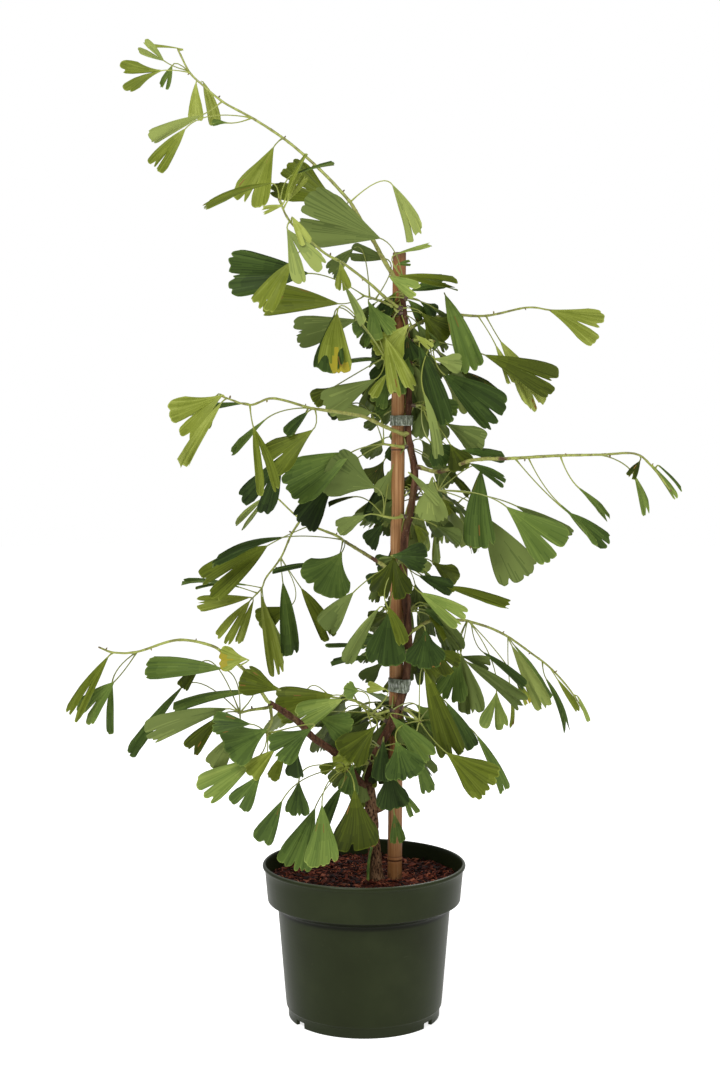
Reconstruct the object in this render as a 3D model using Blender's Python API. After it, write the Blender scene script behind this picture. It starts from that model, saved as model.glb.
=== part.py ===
"""A young ginkgo in a round nursery pot, tied to a bamboo cane. Metres, +Z up.

The origin is under the middle of the pot. +X is to the right and -Y towards the viewer.
Sizes below are in millimetres and become metres when a mesh is made.
"""
import math
import random

import bmesh
import bpy
import numpy as np
from mathutils import Vector
from mathutils.bvhtree import BVHTree

MM = 0.001
GAP = 0.35
CLEARANCE = 0.6

POT = dict(height=167, rim=110, band_top=107.5, band_foot=104.5, band_height=39.5, body_top=93.4, body_foot=84.4,
           foot=82, foot_height=11.5, wall=1.7, pad=55, sides=32)
SLOTS = dict(width=15, height=6, angles=(-124, -90, -56, 56, 90, 124, 180))
SOIL = dict(top=151, mound=2.5, flat=45)
CANE = dict(foot=(33, -12), head=(37.3, -12), top=821, radii=(7.75, 7.0), nodes=(173, 393, 614), sides=12)
TIES = dict(tie_lower=(355, 369), tie_upper=(638.5, 649))
TIE_THICKNESS = 0.8

LEAF = dict(thickness=0.9, stalk_radius=0.75, smallest=17)
DEPTH_SHIFTS = (0, -5, 5, -10, 10, -16, 16, -23, 23)

TINTS = dict(deep=(0.045, 0.085, 0.025), mid=(0.10, 0.17, 0.05), fresh=(0.20, 0.29, 0.08),
             young=(0.32, 0.40, 0.10), yellow=(0.36, 0.31, 0.05))
BARK = (0.11, 0.075, 0.06)
SHOOT = (0.27, 0.29, 0.10)

TRUNK = dict(
    route=[(14, -15, 151), (12, -16, 172), (10, -17, 194), (7, -19, 235), (5, -22, 266), (17, -26, 299),
           (29, -27.5, 322), (42, -24.5, 358), (47, -21.5, 400), (45, -21, 453), (42.5, -22, 480),
           (43, -22, 517), (51.5, -16.5, 562), (54, -14.5, 592), (47, -16.5, 628), (47.5, -16.5, 680),
           (46, -18, 725), (43, -21.5, 750), (40, -24, 777)],
    foot=6.7, fork=6.2, fork_height=266, above_fork=4.7, tip=2.8, flare=1.7, flare_height=14,
)
STUB = dict(foot=(9, -18, 228), tip=(24, -19, 233), radii=(6.2, 3.6))

# Each bough leaves the trunk at a height and runs through its points to where its leaves begin.
BOUGHS = dict(
    leader=dict(on="tip", route=[(22, -28, 809), (7, -26, 836), (-13, -20, 870)], radii=(2.5, 1.9)),
    left_high_bough=dict(on=630, route=[(22, -32, 637), (0, -48, 647), (-23, -66, 651), (-47, -86, 654)],
                         radii=(2.0, 1.6)),
    left_mid_bough=dict(on=474, route=[(24, -30, 488), (0, -2, 502), (-21, 30, 513)], radii=(2.2, 1.8)),
    left_low_bough=dict(on=258, route=[(-28, -48, 292), (-53, -68, 314), (-69, -84, 334), (-96, -104, 356)],
                        radii=(4.6, 2.9)),
    right_high_bough=dict(on=740, route=[(66, -6, 751), (91, 12, 758)], radii=(2.0, 1.7)),
    right_mid_bough=dict(on=594, route=[(80, -34, 590), (112, -56, 602), (148, -80, 604)], radii=(2.2, 1.8)),
    right_low_bough=dict(on=420, route=[(68, -2, 428), (82, 12, 429), (109, 34, 426)], radii=(2.0, 1.7)),
)

# Each mass is one stem with its leaves. A leaf's row says where it leaves the stem (a place on the route, 2.5 is
# halfway from point 2 to point 3), how far its blade starts from there, its heading in the front view (0 right,
# 90 up) and its turn towards the viewer, its length and spread, the side it shows (0 upper side, 180 under side),
# how deeply it is split, and its tint.
MASSES = dict(
    leader_tip=dict(
        on=("leader", "tip"), radii=(1.8, 1.0),
        route=[(-41, -8, 903), (-79, 8, 939), (-117, 25, 967), (-151, 40, 988), (-173, 50, 1007),
               (-190, 56, 1024), (-203, 60, 1049)],
        leaves=[
            (0.0, (45, -5, 16), -60, 5, 66, 22, 150, 0.5, "fresh"),
            (0.1, (-12, 26, 0), 152, -8, 76, 58, 12, 0.5, "deep"),
            (2.2, (-10, -8, -12), 243, 12, 68, 52, 35, 0.35, "fresh"),
            (3.1, (-26, -8, -7), 175, 5, 18, 60, 50, 0.3, "mid"),
            (3.1, (-71, -14, -15), 231, 8, 54, 34, 20, 0.4, "fresh"),
            (4.1, (-23, -8, -17), 204, 12, 64, 20, 150, 0.0, "young"),
            (5.4, (-2, -9, -4), -94, 6, 40, 22, 20, 0.15, "fresh"),
            (5.3, (3, 11, 2), -68, 0, 46, 20, 30, 0.0, "fresh"),
            (6.0, (-31, -5, 1), 190, 5, 46, 62, 15, 0.8, "fresh"),
            (6.0, (-21, 10, 9), -112, 0, 26, 40, 10, 0.5, "mid"),
            (6.1, (-26, -14, 8), 143, 5, 30, 52, 160, 0.75, "young"),
            (7.0, (5, 0, 1), 168, 0, 38, 16, 65, 0.0, "young"),
        ]),
    high_left_shoot=dict(
        on=("trunk", 762), radii=(1.7, 1.0),
        route=[(22, -42, 771), (6, -55, 784), (-21, -78, 802), (-39, -94, 810), (-56, -108, 823),
               (-74, -120, 839), (-84, -128, 858)],
        leaves=[
            (6.0, (-2, -4, -9), -62, 8, 56, 56, 155, 0.8, "young"),
            (3.2, (1, -7, -4), -80, 5, 27, 60, 25, 0.3, "fresh"),
            (3.0, (2, -10, -25), -60, 5, 44, 22, 150, 0.0, "fresh"),
            (4.9, (-19, -6, -22), 236, 10, 56, 46, 25, 0.25, "fresh"),
            (5.9, (2, -8, 4), -62, 10, 30, 36, 20, 0.4, "young"),
            (6.6, (5, -5, 8), 60, 10, 30, 42, 20, 0.5, "young"),
            (6.8, (4, -10, 3), 74, 10, 50, 13, 60, 0.0, "fresh"),
            (6.9, (14, -10, 26), 20, 0, 42, 16, 55, 0.0, "mid"),
            (7.0, (-9, 7, 18), 191, 5, 72, 24, 58, 0.1, "mid"),
            (7.0, (3, -3, -5), 195, 5, 21, 42, 20, 0.4, "young"),
        ]),
    top_spray=dict(
        on=("trunk", 772), radii=(1.6, 1.2), route=[(46, -33, 783), (40, -37, 792)],
        leaves=[
            (2.0, (-24, -8, 40), 163, 6, 88, 58, 172, 0.25, "mid"),
            (2.0, (-8, 0, 24), 20, 5, 40, 14, 60, 0.0, "fresh"),
            (1.8, (-4, -6, 3), -4, -4, 64, 20, 35, 0.45, "deep"),
            (2.0, (-13, -12, -1), -28, 10, 33, 52, 20, 0.4, "fresh"),
            (2.0, (-5, 0, 14), 10, 0, 14, 40, 20, 0.3, "mid"),
        ]),
    top_left_spray=dict(
        on=("trunk", 757), radii=(1.7, 1.1), route=[(28, -27, 764), (12, -14, 772), (0, -8, 776)],
        leaves=[
            (3.0, (-60, 3, 24), 180, 0, 86, 46, 12, 0.15, "deep"),
            (3.0, (-28, -20, -10), 174, 0, 86, 34, 20, 0.1, "mid"),
            (1.6, (-14, -14, -2), -62, 12, 42, 62, 20, 0.4, "mid"),
            (2.0, (10, 4, 43), 167, 0, 38, 40, 160, 0.3, "mid"),
            (2.5, (-18, -4, 50), 226, 5, 37, 46, 155, 0.1, "mid"),
        ]),
    upper_left_spray=dict(
        on=("trunk", 715), radii=(1.8, 1.2), route=[(34, -28, 712), (22, -33, 710)],
        leaves=[
            (2.0, (-31, -8, 38), 194, 5, 67, 40, 165, 0.1, "mid"),
            (2.0, (-53, -30, 41), 262, 12, 60, 48, 20, 0.0, "mid"),
            (2.0, (-3, 12, -2), 176, 0, 47, 24, 55, 0.0, "mid"),
            (1.0, (12, -6, 31), 226, 10, 46, 70, 20, 0.1, "fresh"),
            (1.2, (-9, -12, 16), -70, 14, 62, 40, 15, 0.45, "fresh"),
            (2.0, (-11, -8, -24), 207, 5, 62, 38, 160, 0.0, "mid"),
            (2.0, (-54, 12, -31), 212, 0, 28, 60, 20, 0.0, "deep"),
            (1.8, (-2, -14, -20), 236, 10, 28, 45, 30, 0.0, "fresh"),
            (2.0, (-54, -38, 42), -94, 8, 62, 24, 20, 0.0, "yellow"),
        ]),
    left_high_leaves=dict(
        on=("left_high_bough", "tip"), radii=(1.5, 0.9),
        route=[(-58, -96, 656), (-91, -122, 664), (-113, -138, 657), (-137, -152, 664)],
        leaves=[
            (4.0, (-2, -1, 2), 212, 8, 58, 62, 15, 0.2, "young"),
            (3.9, (-6, -7, -6), 235, 8, 73, 17, 25, 0.15, "young"),
            (4.0, (-8, 8, 2), 245, 3, 34, 35, 20, 0.0, "young"),
            (3.0, (-7, 9, 2), 184, 0, 74, 16, 58, 0.3, "deep"),
            (3.0, (4, -5, -23), -73, 5, 68, 34, 20, 0.8, "fresh"),
            (0.8, (-46, -12, -13), 222, 5, 48, 22, 55, 0.0, "mid"),
            (0.1, (-3, -5, -22), 216, 6, 58, 56, 15, 0.4, "mid"),
            (0.9, (-27, 12, -48), 241, 0, 67, 50, 10, 0.5, "deep"),
            (0.5, (-6, -5, -4), 222, 5, 32, 34, 20, 0.0, "deep"),
        ]),
    left_inner_leaves=dict(
        on=("trunk", 617), radii=(1.8, 1.2), route=[(33, -27, 617), (20, -32, 619)],
        leaves=[
            (2.0, (-34, -14, -9), 209, 8, 78, 52, 12, 0.0, "mid"),
            (2.0, (-51, 8, -36), 232, 0, 64, 42, 15, 0.0, "deep"),
            (2.0, (-12, 14, 33), 176, -5, 38, 42, 150, 0.0, "mid"),
            (2.0, (-35, 22, 42), 205, 0, 26, 50, 10, 0.0, "deep"),
        ]),
    left_centre_leaves=dict(
        on=("trunk", 541), radii=(1.8, 1.2), route=[(31, -31, 541), (20, -33, 543)],
        leaves=[
            (2.0, (-8, -4, 30), 158, 8, 58, 76, 170, 0.0, "mid"),
            (2.0, (4, 27, 42), 251, 0, 56, 34, 12, 0.0, "deep"),
            (2.0, (-19, -2, 1), 206, 5, 34, 46, 170, 0.0, "fresh"),
            (2.0, (-32, 14, 20), 190, 0, 28, 30, 55, 0.0, "deep"),
        ]),
    left_mid_leaves=dict(
        on=("left_mid_bough", "tip"), radii=(1.7, 0.9),
        route=[(-31, 42, 519), (-59, 66, 529), (-77, 80, 540), (-94, 94, 555)],
        leaves=[
            (4.0, (-15, 4, 6), 224, 0, 50, 34, 150, 0.6, "young"),
            (2.0, (-48, -20, -22), 211, 5, 88, 38, 10, 0.45, "mid"),
            (0.2, (-66, -12, 3), 189, 0, 84, 15, 50, 0.0, "deep"),
            (0.1, (-17, -16, -26), 177, 0, 62, 13, 55, 0.0, "deep"),
            (0.1, (-1, -28, -12), 238, 12, 52, 96, 8, 0.0, "mid"),
        ],
        twigs=[dict(
            leaves_at=2.6, route=[(-82, 84, 517), (-94, 92, 491), (-111, 98, 468), (-116, 100, 456),
                                  (-127, 104, 444)],
            leaves=[
                (5.0, (-4, 0, 1), 187, 5, 60, 24, 15, 0.15, "fresh"),
                (5.0, (-3, -7, -3), 232, 8, 56, 32, 10, 0.5, "fresh"),
                (5.0, (0, 7, -5), 250, 0, 54, 14, 10, 0.0, "young"),
                (4.5, (-22, 12, 6), 163, 0, 68, 9, 50, 0.0, "mid"),
                (4.0, (-20, 20, 2), 172, 0, 60, 9, 50, 0.0, "mid"),
                (4.0, (0, -8, -7), -76, 8, 76, 18, 25, 0.2, "young"),
                (4.0, (6, 4, -28), -66, 5, 54, 16, 150, 0.0, "young"),
                (2.0, (3, -12, -28), -82, 3, 84, 24, 15, 0.0, "deep"),
                (2.0, (8, 10, -57), 207, 0, 42, 56, 15, 0.0, "mid"),
                (2.0, (24, -14, -34), -55, 8, 66, 28, 30, 0.3, "mid"),
            ])]),
    centre_leaves=dict(
        on=("trunk", 495), radii=(1.8, 1.2), route=[(42, -37, 498), (38, -47, 499)],
        leaves=[
            (2.0, (-9, -8, 4), -3, 18, 38, 66, 15, 0.1, "deep"),
            (2.0, (-7, -2, 2), -96, 16, 46, 84, 10, 0.45, "deep"),
            (2.0, (-12, 2, -57), 264, 14, 57, 62, 12, 0.0, "deep"),
            (2.0, (-14, -14, -49), -60, 10, 44, 32, 25, 0.0, "mid"),
            (2.0, (20, -2, -18), -20, 5, 38, 38, 20, 0.15, "deep"),
            (2.0, (48, 2, -29), -14, 5, 70, 20, 45, 0.0, "mid"),
            (2.0, (21, -10, -35), -31, 10, 54, 42, 20, 0.35, "fresh"),
            (2.0, (-50, 0, -36), 226, 5, 50, 46, 155, 0.0, "mid"),
        ]),
    centre_low_leaves=dict(
        on=("trunk", 398), radii=(1.7, 1.2), route=[(32, -32, 399)],
        leaves=[
            (1.0, (-25, -3, -6), 178, 5, 44, 18, 45, 0.0, "deep"),
            (1.0, (-18, -10, 46), 234, 8, 68, 20, 150, 0.0, "fresh"),
            (1.0, (-17, 8, 16), 190, 0, 24, 70, 10, 0.0, "deep"),
            (1.0, (32, -16, 25), -90, 14, 41, 86, 8, 0.0, "deep"),
            (1.0, (-32, -6, 8), 178, 0, 42, 12, 50, 0.0, "deep"),
        ]),
    right_high_leaves=dict(
        on=("right_high_bough", "tip"), radii=(1.6, 1.0), route=[(133, 42, 759), (181, 78, 771), (209, 98, 770)],
        leaves=[
            (3.0, (0, 1, 0), -20, 0, 68, 48, 15, 0.45, "fresh"),
            (1.0, (16, -8, -29), -57, 5, 84, 28, 25, 0.2, "young"),
            (0.8, (19, -14, -34), -65, 5, 44, 22, 20, 0.3, "young"),
            (0.1, (-10, -28, 17), -68, 14, 86, 27, 25, 0.0, "mid"),
        ]),
    right_high_inner=dict(
        on=("trunk", 727), radii=(1.8, 1.2), route=[(61, -27, 729), (72, -31, 727)],
        leaves=[
            (2.0, (58, 36, -13), -20, -4, 90, 32, 15, 0.35, "mid"),
            (2.0, (2, -5, -19), -12, 8, 30, 58, 150, 0.0, "fresh"),
            (2.0, (13, 12, -35), -35, 2, 77, 48, 12, 0.2, "deep"),
            (1.5, (-9, -14, -8), -70, 8, 86, 28, 20, 0.0, "deep"),
            (2.0, (-10, -30, -57), -70, 8, 72, 14, 150, 0.0, "fresh"),
            (1.2, (-8, -10, 2), -35, 15, 20, 40, 20, 0.4, "young"),
            (2.0, (30, 26, -30), -30, 0, 54, 30, 20, 0.0, "deep"),
        ]),
    right_tie_leaves=dict(
        on=("trunk", 660), radii=(1.7, 1.2), route=[(61, -22, 660)],
        leaves=[
            (1.0, (27, -2, -20), -30, 5, 46, 56, 160, 0.0, "mid"),
            (1.0, (41, -12, -48), -3, 4, 48, 22, 45, 0.0, "deep"),
            (1.0, (8, -20, -39), -50, 12, 30, 90, 10, 0.0, "deep"),
            (1.0, (29, -24, -42), -60, 10, 30, 80, 12, 0.0, "deep"),
            (1.0, (7, 12, 5), 256, 0, 42, 36, 160, 0.0, "mid"),
        ]),
    right_mid_inner=dict(
        on=("trunk", 573), radii=(1.8, 1.2), route=[(67, -24, 573), (78, -29, 570)],
        leaves=[
            (2.0, (45, -2, 21), -96, 8, 84, 34, 15, 0.0, "mid"),
            (2.0, (71, -20, -17), -40, 5, 74, 50, 12, 0.3, "mid"),
            (2.0, (50, 20, -28), -58, -2, 80, 46, 160, 0.0, "mid"),
            (2.0, (84, 6, -17), -26, 0, 66, 17, 140, 0.0, "mid"),
            (1.2, (-21, -16, 15), -42, 10, 46, 18, 150, 0.0, "fresh"),
            (2.0, (-7, -6, 13), -92, 6, 48, 66, 165, 0.0, "fresh"),
            (2.0, (7, 4, 22), -40, 0, 40, 24, 30, 0.0, "deep"),
            (2.0, (34, -12, 28), -24, 4, 42, 30, 20, 0.35, "deep"),
        ]),
    right_mid_leaves=dict(
        on=("right_mid_bough", "tip"), radii=(1.7, 0.9),
        route=[(197, -108, 607), (235, -128, 608), (266, -144, 609), (281, -152, 597), (298, -160, 574)],
        leaves=[
            (0.1, (55, -8, -56), -37, 3, 52, 30, 25, 0.2, "mid"),
            (0.4, (31, -22, -48), -42, 0, 56, 12, 55, 0.0, "mid"),
            (1.0, (19, -5, -33), -40, 0, 46, 17, 50, 0.2, "mid"),
            (2.0, (37, -9, -7), 238, 0, 19, 50, 20, 0.4, "deep"),
            (2.0, (35, 6, -22), -66, 4, 42, 22, 30, 0.0, "fresh"),
            (4.0, (1, -1, 0), -50, 8, 40, 15, 40, 0.0, "fresh"),
            (4.2, (5, 5, 4), -40, 0, 34, 12, 50, 0.0, "mid"),
        ]),
    right_low_leaves=dict(
        on=("right_low_bough", "tip"), radii=(1.6, 0.9),
        route=[(140, 60, 415), (162, 76, 403), (189, 96, 383), (214, 112, 363), (239, 128, 335), (260, 140, 303)],
        leaves=[
            (0.1, (-5, -12, -38), -14, 5, 32, 46, 160, 0.2, "mid"),
            (0.1, (-10, -34, -36), 255, 12, 50, 58, 15, 0.35, "mid"),
            (0.1, (-1, -24, -43), -33, 5, 76, 28, 145, 0.3, "mid"),
            (0.3, (14, -2, -34), -33, 0, 62, 20, 40, 0.0, "deep"),
            (2.0, (4, -10, -10), -60, 6, 78, 22, 150, 0.1, "young"),
            (2.0, (9, 8, -12), -50, 0, 74, 14, 50, 0.0, "mid"),
            (3.6, (4, -8, -20), -58, 4, 68, 15, 40, 0.2, "mid"),
            (4.0, (8, -9, -13), -55, 0, 44, 15, 20, 0.0, "fresh"),
            (5.2, (5, 0, -2), -62, 0, 34, 12, 20, 0.0, "young"),
            (0.2, (31, 6, -80), -96, 4, 44, 62, 15, 0.6, "young"),
            (2.0, (5, 14, -66), -80, 0, 42, 12, 30, 0.0, "fresh"),
            (0.1, (-8, -26, -34), -78, 4, 66, 38, 160, 0.1, "mid"),
            (0.2, (53, 6, -66), -60, 0, 31, 26, 30, 0.2, "yellow"),
        ]),
    low_right_leaves=dict(
        on=("trunk", 340), radii=(1.9, 1.3), route=[(49, -38, 335), (58, -47, 328)],
        leaves=[
            (2.0, (6, 2, 52), -71, 8, 97, 24, 12, 0.0, "deep"),
            (2.0, (30, 18, 16), -60, 2, 60, 30, 15, 0.0, "deep"),
            (2.0, (29, -6, -33), -37, 6, 61, 56, 12, 0.1, "mid"),
            (2.0, (63, 28, -21), -57, 0, 72, 18, 25, 0.15, "mid"),
            (2.0, (-29, -20, 7), -46, 8, 60, 36, 12, 0.0, "mid"),
            (2.0, (-25, -36, -15), -72, 12, 42, 84, 12, 0.1, "mid"),
            (2.0, (-2, -12, -39), -68, 5, 38, 36, 15, 0.0, "mid"),
        ]),
    foot_leaves=dict(
        on=("trunk", 298), radii=(1.7, 1.2), route=[(17, -44, 291)],
        leaves=[
            (1.0, (3, -28, 20), -94, 14, 42, 44, 15, 0.0, "deep"),
            (1.0, (8, -18, -11), -82, 8, 44, 66, 12, 0.0, "deep"),
            (1.0, (25, -8, -39), -62, 5, 28, 40, 20, 0.4, "fresh"),
            (1.0, (15, 2, -64), -82, 0, 33, 42, 15, 0.3, "mid"),
        ]),
    low_centre_leaves=dict(
        on=("trunk", 334), radii=(1.7, 1.2), route=[(14, -37, 334), (4, -41, 336)],
        leaves=[
            (2.0, (-23, -22, 29), 204, 6, 66, 32, 15, 0.1, "fresh"),
            (2.0, (-33, 2, 28), 197, 2, 68, 32, 15, 0.0, "mid"),
            (2.0, (-52, -12, -3), -22, 10, 38, 70, 15, 0.0, "mid"),
            (2.0, (8, -16, -12), 224, 8, 48, 66, 12, 0.1, "deep"),
            (2.0, (-10, -28, 27), 175, 10, 16, 110, 10, 0.0, "fresh"),
            (1.5, (13, 0, 26), 172, 0, 20, 50, 20, 0.2, "young"),
        ]),
    left_low_shoot=dict(
        on=("left_low_bough", "tip"), radii=(1.9, 1.0),
        route=[(-110, -118, 378), (-122, -125, 394), (-138, -135, 408), (-152, -142, 419), (-184, -155, 426),
               (-222, -168, 416), (-244, -174, 416), (-256, -178, 421)],
        leaves=[
            (7.0, (-6, 0, -5), 236, 5, 72, 22, 25, 0.6, "mid"),
            (6.0, (-23, -2, -30), 224, 5, 50, 46, 12, 0.5, "mid"),
            (6.0, (-26, 8, -33), -96, 0, 52, 14, 20, 0.0, "mid"),
            (2.2, (8, -12, 8), 178, 8, 28, 74, 12, 0.0, "yellow"),
            (1.8, (33, -12, -17), 160, 8, 40, 62, 12, 0.0, "deep"),
        ]),
    left_low_spray=dict(
        on=("left_low_bough", "tip"), radii=(1.8, 1.2), route=[(-114, -105, 349), (-126, -112, 347)],
        leaves=[
            (2.0, (-18, -14, 47), 175, 3, 78, 25, 35, 0.0, "mid"),
            (2.0, (-41, 0, 49), 231, 0, 32, 34, 20, 0.0, "deep"),
            (2.0, (11, 0, 22), 184, 3, 84, 14, 45, 0.0, "mid"),
            (2.0, (-14, -6, 5), 191, 3, 84, 30, 155, 0.1, "mid"),
            (2.0, (-61, 13, 23), 229, 0, 89, 14, 44, 0.0, "mid"),
            (1.9, (-21, -13, -2), 228, 0, 47, 36, 20, 0.15, "deep"),
            (2.0, (-5, 10, -23), 234, 0, 42, 46, 160, 0.0, "mid"),
        ]),
    left_low_hanging=dict(
        on=("left_low_bough", "tip"), radii=(1.8, 1.2), route=[(-94, -113, 339), (-98, -120, 327)],
        leaves=[
            (2.0, (1, -8, 6), 198, 6, 46, 60, 12, 0.0, "mid"),
            (2.0, (45, -14, 8), 214, 6, 47, 62, 12, 0.3, "mid"),
            (2.0, (-11, 8, -26), 212, 0, 70, 36, 15, 0.25, "fresh"),
            (2.0, (-7, -2, -41), 234, 3, 44, 46, 12, 0.3, "mid"),
            (2.0, (16, 12, -23), 245, 0, 30, 40, 15, 0.0, "mid"),
            (2.0, (30, 4, -20), 260, 0, 28, 60, 15, 0.0, "deep"),
            (2.0, (-17, -12, 12), 176, 5, 38, 50, 20, 0.1, "mid"),
        ]),
    low_left_hanging=dict(
        on=("trunk", 280), radii=(1.8, 1.2), route=[(-6, -44, 280), (-20, -58, 280)],
        leaves=[
            (2.0, (-64, -52, -24), 242, 3, 52, 34, 15, 0.0, "mid"),
            (2.0, (-47, -42, -6), -93, 5, 36, 58, 12, 0.1, "deep"),
            (2.0, (-31, -32, -36), 249, 5, 68, 44, 12, 0.1, "mid"),
            (2.0, (-23, -54, -28), -88, 5, 66, 42, 12, 0.0, "mid"),
            (2.0, (10, -38, -15), -87, 6, 67, 60, 12, 0.1, "mid"),
            (2.0, (-4, -22, -16), 242, 0, 50, 26, 15, 0.0, "deep"),
            (2.0, (-8, -12, 8), 205, 5, 20, 50, 15, 0.0, "deep"),
            (2.0, (8, -14, 6), -100, 5, 32, 60, 15, 0.0, "mid"),
        ]),
)

# The far side, which the photograph hides, is filled out by stems whose leaves go round by a seeded rule.
FAR_MASSES = dict(
    back_high_leaves=dict(on=("trunk", 704), radii=(1.9, 1.0), count=9, seed=3,
                          route=[(58, 4, 704), (66, 40, 706), (74, 80, 698)]),
    back_mid_leaves=dict(on=("trunk", 562), radii=(1.9, 1.0), count=10, seed=11,
                         route=[(64, 4, 562), (86, 44, 560), (112, 88, 548)]),
    back_low_leaves=dict(on=("trunk", 440), radii=(1.9, 1.0), count=9, seed=23,
                         route=[(54, 8, 444), (50, 44, 448), (44, 84, 440)]),
    back_foot_leaves=dict(on=("trunk", 322), radii=(1.9, 1.0), count=10, seed=31,
                          route=[(12, -14, 330), (-6, 18, 338), (-38, 58, 338)]),
)
FAR_LEAF = dict(stalk=30, length=(44, 74), spread=(34, 72), droop=55, split=0.35)


def clear_scene():
    for thing in list(bpy.data.objects):
        bpy.data.objects.remove(thing, do_unlink=True)


def finish_material(name, colour, roughness):
    material = bpy.data.materials.new(name)
    material.use_nodes = True
    shader = material.node_tree.nodes["Principled BSDF"]
    shader.inputs["Base Color"].default_value = (*colour, 1)
    shader.inputs["Roughness"].default_value = roughness
    shader.inputs["Metallic"].default_value = 0
    return material


def make_object(name, points, faces, colour=None, roughness=0.6):
    """One closed mesh object from points in mm."""
    mesh = bpy.data.meshes.new(name)
    mesh.from_pydata((np.asarray(points) * MM).tolist(), [], faces)
    mesh.update()
    thing = bpy.data.objects.new(name, mesh)
    bpy.context.scene.collection.objects.link(thing)
    if colour:
        mesh.materials.append(finish_material(name, colour, roughness))
    return thing


def smooth_route(points, spacing):
    """A curve through the points (Catmull-Rom), with a step about every `spacing` mm."""
    points = np.asarray(points, float)
    ends = np.vstack([2 * points[0] - points[1], points, 2 * points[-1] - points[-2]])
    route, places = [], []
    for i in range(len(points) - 1):
        a, b, c, d = ends[i:i + 4]
        steps = max(1, round(np.linalg.norm(c - b) / spacing))
        for t in np.arange(steps) / steps:
            route.append(0.5 * (2 * b + (c - a) * t + (2 * a - 5 * b + 4 * c - d) * t ** 2
                                + (3 * b - a - 3 * c + d) * t ** 3))
            places.append(i + t)
    route.append(points[-1])
    places.append(len(points) - 1)
    return np.array(route), np.array(places, float)


def tangents_of(route):
    tangents = np.gradient(route, axis=0)
    return tangents / np.linalg.norm(tangents, axis=1)[:, None]


def tube(route, radii, sides, flat_foot=False):
    """A closed tube of `sides` sides along the route, its rings turned as little as possible."""
    tangents = tangents_of(route)
    if flat_foot:
        tangents[0] = (0, 0, 1)
    across = np.cross(tangents[0], (0.3, 1, 0.2))
    around = np.linspace(0, 2 * math.pi, sides, endpoint=False)
    points, faces = [], []
    for place, tangent, radius in zip(route, tangents, radii):
        across = across - tangent * across.dot(tangent)
        across /= np.linalg.norm(across)
        side = np.cross(tangent, across)
        points.extend(place + radius * (math.cos(w) * across + math.sin(w) * side) for w in around)
    for i in range(len(route) - 1):
        for j in range(sides):
            a, b = i * sides + j, i * sides + (j + 1) % sides
            faces.append((a, b, b + sides, a + sides))
    faces.append(tuple(reversed(range(sides))))
    faces.append(tuple(range(len(points) - sides, len(points))))
    return np.array(points), faces


def turned(profile, sides):
    """A solid turned round Z from an outline that starts and ends on the axis, foot to top."""
    points, faces = [(0, 0, profile[0][1])], []
    around = np.linspace(0, 2 * math.pi, sides, endpoint=False)
    for radius, z in profile[1:-1]:
        points.extend((radius * math.cos(w), radius * math.sin(w), z) for w in around)
    last = len(points)
    points.append((0, 0, profile[-1][1]))
    for j in range(sides):
        k = (j + 1) % sides
        faces.append((0, 1 + k, 1 + j))
        for i in range(len(profile) - 3):
            a, b = 1 + i * sides + j, 1 + i * sides + k
            faces.append((a, b, b + sides, a + sides))
        faces.append((last - sides + j, last - sides + k, last))
    return points, faces


def make_pot():
    """The pot's outline up its outside, over the rim and down its inside to the raised floor and the pad."""
    p = POT
    height, wall, band = p["height"], p["wall"], p["height"] - p["band_height"]
    foot_in, floor = p["foot"] - 4, p["foot_height"] + wall + 0.5
    outline = [
        (0, 0), (p["pad"], 0), (p["pad"] + 4, p["foot_height"]), (foot_in, p["foot_height"]), (foot_in, 0),
        (p["foot"], 0), (p["foot"] + 0.4, p["foot_height"] - 1), (p["body_foot"], p["foot_height"] + 1),
        (p["body_top"], band - 9), (p["body_top"] + 3, band - 5), (p["band_foot"], band),
        (p["band_top"], height - 7), (p["rim"], height - 5), (p["rim"], height - 1.2), (p["rim"] - 1.2, height),
        (p["band_top"] - wall + 0.8, height), (p["band_top"] - wall, height - 6),
        (p["band_foot"] - wall, band + 1), (p["body_top"] - wall, band - 8),
        (p["body_foot"] - wall + 0.2, floor), (p["pad"] + 4 - wall, floor), (p["pad"] - wall, wall), (0, wall),
    ]
    pot = make_object("pot", *turned(outline, p["sides"]), colour=(0.035, 0.05, 0.035), roughness=0.45)
    for angle in SLOTS["angles"]:
        cut_slot(pot, math.radians(angle - 90))
    return pot


def cut_slot(pot, angle):
    """One drain slot through the foot ring, at the angle seen from above."""
    wide, deep, high = SLOTS["width"] / 2, 8, SLOTS["height"]
    corners = [(x, y, z) for z in (-1, high) for x, y in ((-deep, -wide), (deep, -wide), (deep, wide), (-deep, wide))]
    faces = [(3, 2, 1, 0), (4, 5, 6, 7)] + [(i, (i + 1) % 4, (i + 1) % 4 + 4, i + 4) for i in range(4)]
    turn = np.array([[math.cos(angle), math.sin(angle), 0], [-math.sin(angle), math.cos(angle), 0], [0, 0, 1]])
    middle = (POT["foot"] - 2) * np.array([math.cos(angle), math.sin(angle), 0])
    cutter = make_object("slot_cutter", np.array(corners) @ turn + middle, faces)
    apply_boolean(pot, "DIFFERENCE", cutter=cutter)


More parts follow.
